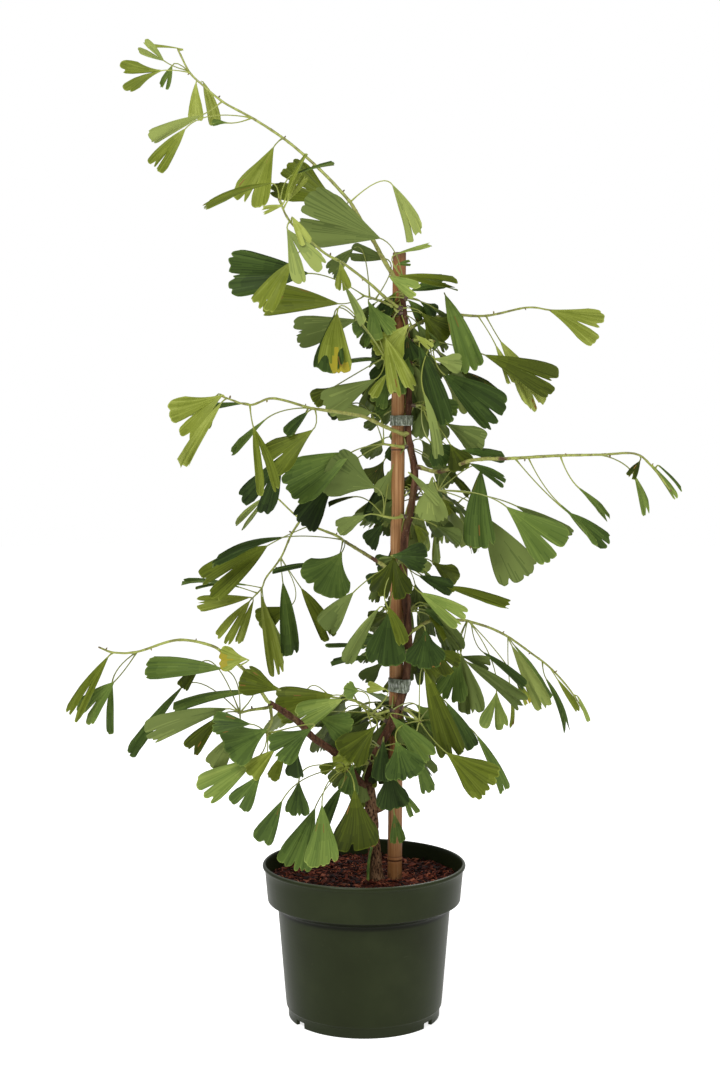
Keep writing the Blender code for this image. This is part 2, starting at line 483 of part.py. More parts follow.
def make_soil():
    """The fill, clear of the pot's inside, with a slightly mounded top."""
    p, wall = POT, POT["wall"] + GAP
    band, floor = p["height"] - p["band_height"], p["foot_height"] + wall + 0.5
    top = SOIL["top"]
    outline = [
        (0, wall), (p["pad"] - wall, wall), (p["pad"] + 4 - wall, floor), (p["body_foot"] - wall, floor),
        (p["body_top"] - wall, band - 8), (p["band_foot"] - wall, band + 1),
        (p["band_top"] - wall - 1.2, top - SOIL["mound"]), (75, top - SOIL["mound"] * 0.45),
        (SOIL["flat"], top - 0.02), (0, top),
    ]
    return make_object("soil", *turned(outline, p["sides"]), colour=(0.05, 0.022, 0.015), roughness=0.9)


def cane_axis(z):
    along = (z - SOIL["top"]) / (CANE["top"] - SOIL["top"])
    return np.append(np.array(CANE["foot"]) * (1 - along) + np.array(CANE["head"]) * along, z)


def make_cane():
    """A straight cane, thinner towards its top, with a low ridge at each node."""
    foot, top = SOIL["top"] + GAP, CANE["top"]
    heights = {foot, top}
    for node in CANE["nodes"]:
        heights.update((node - 4, node - 1, node + 1, node + 4))
    heights = sorted(heights)
    route = np.array([cane_axis(z) for z in heights])
    r_foot, r_top = CANE["radii"]
    radii = [r_foot + (r_top - r_foot) * (z - foot) / (top - foot) for z in heights]
    radii = [r + 0.35 * any(abs(z - n) < 2 for n in CANE["nodes"]) for r, z in zip(radii, heights)]
    return make_object("cane", *tube(route, radii, CANE["sides"], flat_foot=True), colour=(0.55, 0.31, 0.12))


class Limb:
    """A tapering limb: its route, its radius at each step, and its tube."""

    def __init__(self, name, route, radii, sides, spacing, flat_foot=False):
        self.name = name
        self.route, self.places = smooth_route(route, spacing)
        self.tangents = tangents_of(self.route)
        run = np.concatenate([[0], np.cumsum(np.linalg.norm(np.diff(self.route, axis=0), axis=1))])
        self.radii = radii(self.route, run / run[-1])
        self.points, self.faces = tube(self.route, self.radii, sides, flat_foot)

    def beside(self, height):
        """The axis point, direction and radius at a height, or at the tip."""
        if height == "tip":
            return self.route[-1], self.tangents[-1], self.radii[-1]
        rows = np.column_stack([self.route, self.tangents, self.radii])
        row = np.array([np.interp(height, self.route[:, 2], column) for column in rows.T])
        return row[:3], row[3:6] / np.linalg.norm(row[3:6]), row[6]

    def leave(self, height, towards, radius):
        """The first two points of what grows from here: clear of the surface, and square to it."""
        place, tangent, own_radius = self.beside(height)
        out = np.array(towards, float) - place
        out /= np.linalg.norm(out)
        if height == "tip" and out.dot(tangent) > 0.75:
            start = place + tangent * GAP
            return [start, start + tangent * 3]
        if height == "tip":
            place = place - tangent * (radius + 0.6)
        out = out - tangent * out.dot(tangent)
        out /= np.linalg.norm(out)
        start = place + out * (own_radius + GAP)
        return [start, start + out * 2.5]

    def at(self, place):
        """The point at a place on the route, such as 2.5."""
        return np.array([np.interp(place, self.places, self.route[:, k]) for k in range(3)])


def even_taper(radii):
    return lambda route, along: radii[0] + (radii[1] - radii[0]) * along


def trunk_taper(route, along):
    """Flared at the soil, one taper to the fork and a thinner one above it."""
    t, z = TRUNK, route[:, 2]
    flare = t["flare"] * np.clip(1 - (z - SOIL["top"]) / t["flare_height"], 0, 1) ** 2
    low = t["foot"] + (t["fork"] - t["foot"]) * (z - SOIL["top"]) / (t["fork_height"] - SOIL["top"])
    up = np.clip((z - t["fork_height"]) / (route[-1, 2] - t["fork_height"]), 0, 1)
    high = t["above_fork"] + (t["tip"] - t["above_fork"]) * up
    blend = np.clip((z - t["fork_height"] + 4) / 24, 0, 1)
    return (low + flare) * (1 - blend) + high * blend


def make_trunk():
    """The main stem from a flat foot on the soil to its tip, with the knob of an old graft low down."""
    route = [tuple(TRUNK["route"][0][:2]) + (SOIL["top"] + GAP,)] + TRUNK["route"][1:]
    limb = Limb("trunk", route, trunk_taper, 8, 24, flat_foot=True)
    trunk = make_object("trunk", limb.points, limb.faces, colour=BARK, roughness=0.8)
    stub_route = np.linspace(STUB["foot"], STUB["tip"], 3)
    r0, r1 = STUB["radii"]
    stub = make_object("stub", *tube(stub_route, [r0, (r0 + r1) / 2 + 0.6, r1], 8))
    apply_boolean(trunk, "UNION", cutter=stub)
    return limb


def make_boughs(trunk):
    limbs = dict(trunk=trunk)
    for name, plan in BOUGHS.items():
        start = trunk.leave(plan["on"], plan["route"][0], plan["radii"][0])
        limbs[name] = Limb(name, start + plan["route"], even_taper(plan["radii"]), 7, 18)
        make_object(name, limbs[name].points, limbs[name].faces, colour=BARK, roughness=0.75)
    return limbs


def make_sucker():
    route = [(4, -22, SOIL["top"] + GAP), (5, -24, 172), (9, -28.5, 194)]
    limb = Limb("sucker", route, even_taper((1.6, 1.2)), 6, 12, flat_foot=True)
    make_object("sucker", limb.points, limb.faces, colour=SHOOT)
    return limb


def make_tie(name, heights, trunk):
    """A band pulled round the cane and the trunk: the outline that encloses both, given a thickness."""
    rounds = [(cane_axis(z)[:2], CANE["radii"][0]) for z in heights]
    for place, _, radius in map(trunk.beside, heights):
        rounds.append((place[:2], radius + 0.3))
    count = 20
    outlines = []
    for extra in (GAP, GAP + TIE_THICKNESS):
        for w in np.linspace(0, 2 * math.pi, count, endpoint=False):
            out = np.array([math.cos(w), math.sin(w)])
            centre, radius = max(rounds, key=lambda c: c[0].dot(out) + c[1])
            outlines.append(centre + out * (radius + extra))
    points = [(*p, z) for z in heights for p in outlines]
    faces = []
    for j in range(count):
        k, up = (j + 1) % count, 2 * count
        faces += [(j, k, k + up, j + up)[::-1], (j + count, k + count, k + count + up, j + count + up),
                  (j, j + count, k + count, k)[::-1], (j + up, k + up, k + count + up, j + count + up)[::-1]]
    return make_object(name, points, faces, colour=(0.16, 0.18, 0.15), roughness=0.35)


def leaf_axes(heading, near, face):
    """The blade's long axis and its upper side, from its headings in the front view."""
    h, n, f = (math.radians(v) for v in (heading, near, face))
    axis = np.array([math.cos(n) * math.cos(h), -math.sin(n), math.cos(n) * math.sin(h)])
    viewer = np.array([0, -1, 0]) + axis * axis[1]
    viewer /= np.linalg.norm(viewer)
    side = np.cross(axis, viewer)
    if side[2] < -1e-6 or (abs(side[2]) <= 1e-6 and side[0] < 0):
        side = -side
    return axis, math.cos(f) * viewer + math.sin(f) * side


def blade_surface(leaf, u, v):
    """Point at u across (-1 to 1) and v out (0 to 1): a fan with a wedge foot, a notch, a fold and a droop."""
    half = math.radians(leaf["spread"]) / 2
    angle = u * half * (0.6 + 0.4 * v)
    notch = leaf["split"] * np.exp(-(u / 0.16) ** 2) * np.clip((v - 0.3) / 0.7, 0, 1)
    out = leaf["length"] * v * (1 - 0.1 * u ** 4 - notch)
    along, across = out * np.cos(angle), out * np.sin(angle)
    bent = math.radians(leaf["droop"]) / leaf["length"]
    fold = math.radians(leaf["fold"]) / 2
    rise = np.abs(across) * math.sin(fold) - (1 - np.cos(along * bent)) / bent
    side = np.cross(leaf["upper"], leaf["axis"])
    return (leaf["base"] + np.multiply.outer(np.sin(along * bent) / bent, leaf["axis"])
            + np.multiply.outer(across * math.cos(fold), side) + np.multiply.outer(rise, leaf["upper"]))


def stalk_route(leaf):
    """The leaf stalk's arc, from the blade's foot back into the stem."""
    start, base = leaf["node"], leaf["base"]
    length = np.linalg.norm(base - start)
    bend = base - leaf["axis"] * length * 0.4
    t = np.linspace(1, 0, 4 if length > 30 else 3 if length > 8 else 2)[:, None]
    return (1 - t) ** 2 * start + 2 * t * (1 - t) * bend + t ** 2 * base


def leaf_solid(leaf, extra=0.0, stalk=True):
    """A leaf as one closed solid: a three-sided stalk that runs on into a thin fan of a few columns."""
    columns, rings = 4 if leaf["spread"] > 34 else 2, 2 if leaf["length"] > 80 else 1
    half, radius = LEAF["thickness"] / 2 + extra, LEAF["stalk_radius"] + extra
    upper, side = leaf["upper"], np.cross(leaf["upper"], leaf["axis"])
    route = stalk_route(leaf) if stalk else np.array([leaf["base"], leaf["base"] - leaf["axis"] * 2])
    points = []
    for place, tangent in zip(route, -tangents_of(route)):
        side = side - tangent * side.dot(tangent)
        side /= np.linalg.norm(side)
        top = np.cross(tangent, side)
        points += [place + top * radius * 0.5 - side * radius, place + top * radius * 0.5 + side * radius,
                   place - top * radius]
    last = len(points)
    faces = [(last - 3, last - 2, last - 1)]
    for i in range(0, last - 3, 3):
        for j in range(3):
            k = (j + 1) % 3
            faces += [(i + j, i + k, i + k + 3), (i + j, i + k + 3, i + j + 3)]
    step = columns + 1
    u, v = np.meshgrid(np.linspace(-1, 1, step), np.linspace(0, 1, rings + 1)[1:])
    middle = blade_surface(leaf, u.ravel(), v.ravel())
    points = np.vstack([points, middle + upper * half, middle - upper * half])
    top, below = last, last + len(middle)
    mid = top + columns // 2
    faces += [(0, top + j, top + j + 1) for j in range(columns // 2)] + [(0, mid, 1)]
    faces += [(1, mid + j, mid + j + 1) for j in range(columns // 2)]
    faces += [(2, below + j + 1, below + j) for j in range(columns)]
    faces += [(0, 2, below), (0, below, top), (1, top + columns, below + columns), (1, below + columns, 2)]
    for i in range(rings - 1):
        for j in range(columns):
            a, c = top + i * step + j, below + i * step + j
            faces += [(a, a + step, a + step + 1), (a, a + step + 1, a + 1)]
            faces += [(c, c + step + 1, c + step), (c, c + 1, c + step + 1)]
        a, c = top + i * step, below + i * step
        faces += [(a, c, c + step), (a, c + step, a + step)]
        a, c = a + columns, c + columns
        faces += [(a, a + step, c + step), (a, c + step, c)]
    for j in range((rings - 1) * step, rings * step - 1):
        faces += [(top + j, below + j, below + j + 1), (top + j, below + j + 1, top + j + 1)]
    return points, faces


def as_bvh(shapes):
    points, faces = [], []
    for shape_points, shape_faces in shapes:
        faces.extend(tuple(len(points) + i for i in face) for face in shape_faces)
        points.extend(map(Vector, shape_points))
    return BVHTree.FromPolygons(points, faces)


def place_leaf(leaf, others, blades):
    """The leaf's two solids where they are clear of everything else, moved a little in depth if need be."""
    start = leaf["base"].copy()
    for shift in DEPTH_SHIFTS:
        leaf["base"] = start + (0, shift, 0)
        wide_blade = as_bvh([leaf_solid(leaf, CLEARANCE, stalk=False)])
        wide_leaf = as_bvh([leaf_solid(leaf, CLEARANCE)])
        if any(other.overlap(wide_leaf) for other in others) or any(other.overlap(wide_blade) for other in blades):
            continue
        blades.append(wide_blade)
        return [leaf_solid(leaf)]
    return []


def named_leaves(plan, stem, rng):
    """The leaves of the front view, from their rows."""
    for at, reach, heading, near, length, spread, face, split, tint in plan["leaves"]:
        axis, upper = leaf_axes(heading, near, face)
        node = stem.at(at + 1)
        yield dict(node=node, base=node + reach, axis=axis, upper=upper, length=length, spread=spread, split=split,
                   tint=tint, fold=rng.uniform(8, 34), droop=rng.uniform(8, 30))


def ruled_leaves(plan, stem, rng):
    """Leaves that go round a far stem by the golden angle, hang a little and differ in size."""
    f = FAR_LEAF
    for i in range(plan["count"]):
        node = stem.at(1.2 + (len(plan["route"]) - 0.2) * i / (plan["count"] - 1))
        turn = i * math.radians(137.5) + rng.uniform(-0.3, 0.3)
        out = np.array([math.cos(turn), 0.35 + rng.uniform(-0.2, 0.2), 0.6 * math.sin(turn)])
        axis = out - (0, 0, math.tan(math.radians(f["droop"])) * rng.uniform(0.5, 1))
        axis /= np.linalg.norm(axis)
        outward = np.array([out[0], out[1], 0.6])
        upper = outward - axis * axis.dot(outward)
        yield dict(node=node, base=node + out * f["stalk"] * rng.uniform(0.6, 1.1), axis=axis,
                   upper=upper / np.linalg.norm(upper), length=rng.uniform(*f["length"]),
                   spread=rng.uniform(*f["spread"]), split=f["split"] * rng.random(),
                   tint=rng.choice(("deep", "mid", "mid", "fresh")), fold=rng.uniform(8, 30),
                   droop=rng.uniform(8, 30))


def make_mass(name, plan, limbs, others):
    """One mass: its stem, twigs and leaves, fused into one solid."""
    rng = random.Random(plan.get("seed", name))
    parent, height = plan["on"]
    start = limbs[parent].leave(height, plan["route"][0], plan["radii"][0])
    stem = Limb(name, start + plan["route"], even_taper(plan["radii"]), 5, 26)
    leaves = ruled_leaves(plan, stem, rng) if "count" in plan else named_leaves(plan, stem, rng)
    grown = list(leaves)
    shapes = []
    for twig in plan.get("twigs", ()):
        side = Limb(name, [stem.at(twig["leaves_at"] + 1)] + [np.array(p) for p in twig["route"]],
                    even_taper((plan["radii"][0] * 0.8, plan["radii"][1])), 5, 26)
        side.places = side.places + 1
        shapes.append((side.points, side.faces))
        grown += named_leaves(twig, side, rng)
    blades = []
    for leaf in grown:
        if leaf["length"] >= LEAF["smallest"]:
            shapes += place_leaf(leaf, others, blades)
    thing = make_object(name, stem.points, stem.faces, colour=TINTS["mid"], roughness=0.5)
    fuse(thing, shapes)
    others.append(BVHTree.FromPolygons([v.co / MM for v in thing.data.vertices],
                                       [tuple(p.vertices) for p in thing.data.polygons]))


def apply_boolean(thing, operation, cutter=None, collection=None):
    """One Boolean on an object, applied, with what it used removed."""
    step = thing.modifiers.new("join", "BOOLEAN")
    step.operation = operation
    step.solver = "MANIFOLD" if collection else "EXACT"
    if collection:
        step.operand_type = "COLLECTION"
        step.collection = collection
    else:
        step.object = cutter
    mesh = bpy.data.meshes.new_from_object(thing.evaluated_get(bpy.context.evaluated_depsgraph_get()))
    material = thing.data.materials[0]
    thing.modifiers.clear()
    thing.data = mesh
    mesh.name = thing.name
    mesh.materials.clear()
    mesh.materials.append(material)
    mesh.polygons.foreach_set("material_index", [0] * len(mesh.polygons))
    for used in list(collection.objects) if collection else [cutter]:
        bpy.data.objects.remove(used, do_unlink=True)
    if collection:
        bpy.data.collections.remove(collection)


def fuse(thing, shapes):
    """Unites the shapes with the object, and keeps its one outer body."""
    pieces = bpy.data.collections.new(thing.name + "_pieces")
    bpy.context.scene.collection.children.link(pieces)
    for points, faces in shapes:
        piece = make_object("piece", points, faces)
        bpy.context.scene.collection.objects.unlink(piece)
        pieces.objects.link(piece)
    apply_boolean(thing, "UNION", collection=pieces)
    keep_largest(thing.data)


def keep_largest(mesh):
    """Drops loose scraps and the walls of sealed hollows: all but the body with most faces."""
    shape = bmesh.new()
    shape.from_mesh(mesh)
    bmesh.ops.triangulate(shape, faces=shape.faces)
    unseen, bodies = set(shape.verts), []
    while unseen:
        body, edge = set(), [unseen.pop()]
        while edge:
            vert = edge.pop()
            body.add(vert)
            for link in vert.link_edges:
                other = link.other_vert(vert)
                if other in unseen:
                    unseen.discard(other)
                    edge.append(other)
        bodies.append(body)
    largest = max(bodies, key=len)
    bmesh.ops.delete(shape, geom=[v for v in shape.verts if v not in largest], context="VERTS")
    shape.to_mesh(mesh)
    shape.free()


def make_plant():
    trunk = make_trunk()
    limbs = make_boughs(trunk)
    sucker = make_sucker()
    for name, heights in TIES.items():
        make_tie(name, heights, trunk)
    standing = [(limb.points, limb.faces) for limb in (*limbs.values(), sucker)]
    for name in ("pot", "soil", "cane", *TIES):
        mesh = bpy.data.objects[name].data
        standing.append(([v.co / MM for v in mesh.vertices], [tuple(p.vertices) for p in mesh.polygons]))
    others = [as_bvh(standing)]
    for name, plan in (MASSES | FAR_MASSES).items():
        make_mass(name, plan, limbs, others)


clear_scene()
make_pot()
make_soil()
make_cane()
make_plant()
for made in bpy.data.objects:
    made.data.shade_smooth()
    made.data.set_sharp_from_angle(angle=math.radians(35))
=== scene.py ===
import math
import random

import bpy
import numpy as np
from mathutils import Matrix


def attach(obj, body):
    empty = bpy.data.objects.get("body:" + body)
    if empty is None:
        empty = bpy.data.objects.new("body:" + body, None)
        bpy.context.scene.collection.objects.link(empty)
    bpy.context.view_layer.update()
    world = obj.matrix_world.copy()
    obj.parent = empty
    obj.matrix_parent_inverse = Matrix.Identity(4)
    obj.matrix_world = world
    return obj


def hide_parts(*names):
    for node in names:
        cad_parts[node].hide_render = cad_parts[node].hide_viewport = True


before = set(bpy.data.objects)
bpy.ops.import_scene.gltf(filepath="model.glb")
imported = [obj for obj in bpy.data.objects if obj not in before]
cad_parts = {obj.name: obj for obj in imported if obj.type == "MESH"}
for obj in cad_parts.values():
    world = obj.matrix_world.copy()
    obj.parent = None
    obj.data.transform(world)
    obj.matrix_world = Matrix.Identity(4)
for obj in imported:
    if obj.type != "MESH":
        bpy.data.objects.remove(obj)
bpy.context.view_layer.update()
mm = 0.001
gap = 0.35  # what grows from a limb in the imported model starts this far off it
print("frame:", len(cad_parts), "nodes")

# Camera, lights, backdrop and floor: places in metres, angles in degrees.
view = dict(place=(-0.0044, -1.77, 0.612), tilt=86.9, lens=55.0)
lights = [
    dict(name="key", place=(-0.8, -1.5, 2.1), aim=(0, 0, 0.5), size=1.1, watts=36),
    dict(name="fill", place=(1.6, -1.1, 1.2), aim=(0, 0, 0.5), size=1.2, watts=9),
    dict(name="back", place=(0.4, 1.6, 1.8), aim=(0, 0, 0.6), size=1.2, watts=12),
]
backdrop, ambient = 1.0, 0.34  # how bright the white world looks, and how much light it gives
floorGlow = 0.74


def tone(red, green, blue):
    # an sRGB colour of 0 to 255 as the linear one that a shader takes
    value = np.array([red, green, blue]) / 255
    return tuple(np.where(value < 0.04045, value / 12.92, ((value + 0.055) / 1.055) ** 2.4).tolist())


def aimed(thing, place, target):
    # -Z of a light or camera points from its place to the target
    away = np.array(place, float) - target
    yaw = math.atan2(away[0], -away[1])
    thing.location = place
    thing.rotation_euler = (math.atan2(math.hypot(away[0], away[1]), away[2]), 0, yaw)


def setUpStudio():
    scene = bpy.context.scene
    camera = bpy.data.objects.new("camera", bpy.data.cameras.new("camera"))
    scene.collection.objects.link(camera)
    camera.location = view["place"]
    camera.rotation_euler = (math.radians(view["tilt"]), 0, 0)
    camera.data.lens = view["lens"]
    scene.camera = camera
    for plan in lights:
        lamp = bpy.data.lights.new(plan["name"], "AREA")
        lamp.shape = "DISK"
        lamp.size = plan["size"]
        lamp.energy = plan["watts"]
        holder = bpy.data.objects.new(plan["name"], lamp)
        scene.collection.objects.link(holder)
        aimed(holder, plan["place"], plan["aim"])
    world = bpy.data.worlds.new("studio")
    world.use_nodes = True
    background = world.node_tree.nodes["Background"]
    background.inputs["Color"].default_value = (1, 1, 1, 1)
    rays = world.node_tree.nodes.new("ShaderNodeLightPath")
    strength = world.node_tree.nodes.new("ShaderNodeMapRange")
    strength.inputs["To Min"].default_value = ambient
    strength.inputs["To Max"].default_value = backdrop
    world.node_tree.links.new(rays.outputs["Is Camera Ray"], strength.inputs["Value"])
    world.node_tree.links.new(strength.outputs["Result"], background.inputs["Strength"])
    scene.world = world
    scene.view_settings.view_transform = "Standard"
    print("studio: camera,", len(lights), "lights, white world")


# A shader socket inside a Python expression: each operator adds its Math node.
class Wire:
    def __init__(self, recipe, socket):
        self.recipe = recipe
        self.socket = socket

    def maths(self, operation, *values):
        return self.recipe.add("ShaderNodeMath", dict(operation=operation), values)

    def __add__(self, other):
        return self.maths("ADD", self, other)

    def __rsub__(self, other):
        return self.maths("SUBTRACT", other, self)

    def __mul__(self, other):
        return self.maths("MULTIPLY", self, other)

    __radd__ = __add__
    __rmul__ = __mul__


# One material: its Principled shader with plain numbers, and one method that makes every other node.
class Recipe:
    def __init__(self, name, colour, roughness, **numbers):
        self.material = bpy.data.materials.new(name)
        self.material.use_nodes = True
        self.nodes = self.material.node_tree.nodes
        self.shader = self.nodes["Principled BSDF"]
        self.feed("Base Color", (*colour, 1))
        self.feed("Roughness", roughness)
        for socket, value in numbers.items():
            self.feed(socket.replace("_", " "), value)

    def feed(self, socket, value):
        self.plug(self.shader.inputs[socket], value)

    def plug(self, socket, value):
        if isinstance(value, Wire):
            self.material.node_tree.links.new(value.socket, socket)
        else:
            socket.default_value = value

    def add(self, kind, settings, inputs, output=0):
        # inputs by their names, or in order; a ramp's stops are (place, linear colour) pairs
        node = self.nodes.new(kind)
        for name, value in settings.items():
            if name == "stops":
                while len(node.color_ramp.elements) < len(value):
                    node.color_ramp.elements.new(0.5)
                for stop, (place, colour) in zip(node.color_ramp.elements, value):
                    stop.position = place
                    stop.color = (*colour, 1)
            else:
                setattr(node, name, value)
        for name, value in inputs.items() if isinstance(inputs, dict) else enumerate(inputs):
            self.plug(node.inputs[name], value)
        return Wire(self, node.outputs[output])

    def place(self, stretch=(1, 1, 1)):
        # object coordinates in metres, multiplied axis by axis
        where = self.add("ShaderNodeTexCoord", {}, {}, "Object")
        return self.add("ShaderNodeVectorMath", dict(operation="MULTIPLY"), (where, stretch))

    def height(self):
        return self.add("ShaderNodeSeparateXYZ", {}, (self.place(),), "Z")

    def noise(self, scale, stretch=(1, 1, 1), detail=3, roughness=0.55, distortion=0.0):
        values = dict(Vector=self.place(stretch), Scale=scale, Detail=detail, Roughness=roughness,
                      Distortion=distortion)
        return self.add("ShaderNodeTexNoise", {}, values)

    def step(self, value, low, high):
        # 0 below low, 1 above high, eased between
        eased = dict(interpolation_type="SMOOTHSTEP")
        return self.add("ShaderNodeMapRange", eased, (value, low, high, 0.0, 1.0))

    def above(self, height, low, high):
        # the same for a height, between two heights in mm
        return self.step(height, low * mm, high * mm)

    def band(self, height, foot, top):
        # 1 between two eased edges, each a pair of heights in mm
        return self.above(height, *foot) * (1 - self.above(height, *top))

    def mix(self, factor, first, second):
        # from the first colour to the second; a plain colour is an sRGB one
        first, second = ((*tone(*c), 1) if isinstance(c, tuple) else c for c in (first, second))
        return self.add("ShaderNodeMix", dict(data_type="RGBA"), {0: factor, 6: first, 7: second}, 2)

    def ramp(self, value, stops):
        # stops are (place, sRGB colour) pairs
        return self.add("ShaderNodeValToRGB", dict(stops=[(at, tone(*c)) for at, c in stops]), (value,))

    def bump(self, height, strength, distance):
        values = dict(Strength=strength, Distance=distance, Height=height)
        self.feed("Normal", self.add("ShaderNodeBump", {}, values))


# Vectors made one long, along the last axis.
def unit(vectors):
    return vectors / np.linalg.norm(vectors, axis=-1, keepdims=True)


# Places around a tube, 0 to 1, and along it, as two grids.
def skinGrid(sides, run):
    return np.meshgrid(np.arange(sides) / sides, run)


# The angles of points evenly set round a circle.
def circle(count):
    return np.arange(count) / count * 2 * math.pi


# Indices of a grid's quads, row after row; a closed grid joins its last column to its first.
def gridFaces(rows, columns, closed):
    i, j = np.meshgrid(np.arange(rows - 1), np.arange(columns if closed else columns - 1), indexing="ij")
    k = (j + 1) % columns
    near, far = i * columns, (i + 1) * columns
    return np.stack([near + j, near + k, far + k, far + j], -1).reshape(-1, 4)


# Triangles that close a ring of points to one centre; the fourth index of a triangle is -1.
def fanFaces(first, count, centre, upwards):
    j = np.arange(count)
    k = (j + 1) % count
    ring = (j, k) if upwards else (k, j)
    return np.stack([np.full(count, centre), ring[0] + first, ring[1] + first, np.full(count, -1)], -1)


# A mesh object from parts (points in mm, faces, a finish number for each face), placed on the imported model.
def makePiece(name, parts, finishes, nodes, sharp=50):
    points, faces, kinds, start = [], [], [], 0
    for partPoints, partFaces, partKinds in parts:
        points.append(partPoints)
        faces.append(np.where(partFaces < 0, -1, partFaces + start))
        kinds.append(np.broadcast_to(partKinds, len(partFaces)))
        start += len(partPoints)
    points, faces, kinds = np.vstack(points) * mm, np.vstack(faces), np.concatenate(kinds)
    used, order = np.unique(kinds, return_inverse=True)
    corners = faces[faces >= 0]
    mesh = bpy.data.meshes.new(name)
    mesh.vertices.add(len(points))
    mesh.vertices.foreach_set("co", points.astype(np.float32).ravel())
    mesh.loops.add(len(corners))
    mesh.loops.foreach_set("vertex_index", corners.astype(np.int32))
    mesh.polygons.add(len(faces))
    ends = np.cumsum(3 + (faces[:, 3] >= 0))
    mesh.polygons.foreach_set("loop_start", np.concatenate([[0], ends[:-1]]).astype(np.int32))
    for kind in used:
        mesh.materials.append(finishes[kind])
    mesh.polygons.foreach_set("material_index", order.astype(np.int32))
    mesh.update(calc_edges=True)
    mesh.shade_smooth()
    mesh.set_sharp_from_angle(angle=math.radians(sharp))
    piece = bpy.data.objects.new(name, mesh)
    bpy.context.scene.collection.objects.link(piece)
    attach(piece, "root")
    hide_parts(*nodes)


# Value noise on a grid that closes around: random heights on a lattice of cells, eased from one to the next.
def latticeNoise(around, along, cells, seed):
    lattice = np.random.default_rng(seed).uniform(-1, 1, (cells, int(along.max()) + 3))
    a, b = np.floor(around * cells).astype(int), np.floor(along).astype(int)
    s, t = around * cells - a, along - b
    s, t = s * s * (3 - 2 * s), t * t * (3 - 2 * t)
    low = lattice[a % cells, b] * (1 - s) + lattice[(a + 1) % cells, b] * s
    high = lattice[a % cells, b + 1] * (1 - s) + lattice[(a + 1) % cells, b + 1] * s
    return low * (1 - t) + high * t


# A curve through the points (Catmull-Rom), with a step about every `spacing` mm, and each step's place on it.
def smoothRoute(points, spacing):
    points = np.asarray(points, float)
    ends = np.vstack([2 * points[0] - points[1], points, 2 * points[-1] - points[-2]])
    route, places = [], []
    for i in range(len(points) - 1):
        a, b, c, d = ends[i:i + 4]
        steps = max(1, round(np.linalg.norm(c - b) / spacing))
        t = (np.arange(steps) / steps)[:, None]
        route.append(0.5 * (2 * b + (c - a) * t + (2 * a - 5 * b + 4 * c - d) * t ** 2
                            + (3 * b - a - 3 * c + d) * t ** 3))
        places.append(i + t[:, 0])
    return np.vstack([*route, points[-1]]), np.append(np.concatenate(places), len(points) - 1)


def directions(route):
    return unit(np.gradient(route, axis=0))


# Rings round a route: a circle of each radius plus its relief, square to the route. `across` is the direction
# in which the route runs least, made square to each tangent; `level` lays the first ring flat.
def ringPoints(route, radii, sides, relief=0.0, level=False):
    tangents = directions(route)
    if level:
        tangents[0] = (0, 0, 1)
    across = np.linalg.svd(tangents)[2][-1]
    across = unit(across - tangents * (tangents @ across)[:, None])
    side = np.cross(tangents, across)
    around = circle(sides)
    out = np.cos(around)[:, None] * across[:, None] + np.sin(around)[:, None] * side[:, None]
    return route[:, None] + out * (np.asarray(radii)[:, None] + relief)[..., None]


# A closed tube from its rings: quads between the rings and a fan to a middle point at each end.
def closedTube(rings, kinds=0, middles=None):
    count, sides = rings.shape[:2]
    middles = middles or (rings[0].mean(axis=0), rings[-1].mean(axis=0))
    faces = [gridFaces(count, sides, True), fanFaces(0, sides, count * sides, False),
             fanFaces((count - 1) * sides, sides, count * sides + 1, True)]
    if np.ndim(kinds):
        ends = [np.full(sides, kinds.ravel()[k]) for k in (0, -1)]
        kinds = np.concatenate([kinds.ravel(), *ends])
    return np.vstack([rings.reshape(-1, 3), *middles]), np.vstack(faces), kinds


# A solid turned round Z from an outline that runs from the axis, up the outside and back to the axis.
# `change` moves its points: new radius and height = change(radius, height, angles).
def turnedPart(outline, angles, change):
    outline = np.asarray(outline, float)
    radius, z = change(*(np.repeat(column[1:-1, None], len(angles), axis=1) for column in outline.T), angles)
    rings = np.stack([radius * np.cos(angles), radius * np.sin(angles), z], -1)
    return closedTube(rings, middles=((0, 0, outline[0, 1]), (0, 0, outline[-1, 1])))


# Points of an arc, from one angle to another in degrees, for an outline.
def arc(centre, radius, start, end, steps):
    angles = np.radians(np.linspace(start, end, steps))
    return [(centre[0] + radius * math.cos(w), centre[1] + radius * math.sin(w)) for w in angles]


# The plant's plan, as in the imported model, in mm.
soil = dict(top=151, mound=2.5)
cane = dict(foot=(33, -12), head=(37.3, -12), top=821, radii=(7.75, 7.0), nodes=(173, 393, 614))
ties = dict(tie_lower=(355, 369), tie_upper=(638.5, 649))
trunkPlan = dict(
    route=[(14, -15, 151), (12, -16, 172), (10, -17, 194), (7, -19, 235), (5, -22, 266), (17, -26, 299),
           (29, -27.5, 322), (42, -24.5, 358), (47, -21.5, 400), (45, -21, 453), (42.5, -22, 480),
           (43, -22, 517), (51.5, -16.5, 562), (54, -14.5, 592), (47, -16.5, 628), (47.5, -16.5, 680),
           (46, -18, 725), (43, -21.5, 750), (40, -24, 777)],
    foot=6.7, fork=6.2, forkHeight=266, aboveFork=4.7, tip=2.8, flare=1.7, flareHeight=14,
    blendFrom=-4, blendLength=24,  # where the lower taper gives way to the upper one, from the fork's height
    intoSoil=2,  # stems start this far below the surface
)
stubPlan = dict(foot=(9, -18, 228), tip=(24, -19, 233), end=(25.4, -19.1, 233.5), radii=(6.2, 5.5, 3.8, 3.0))
suckerPlan = dict(route=[(4, -22, 151), (5, -24, 172), (9, -28.5, 194)], radii=(1.6, 1.2))

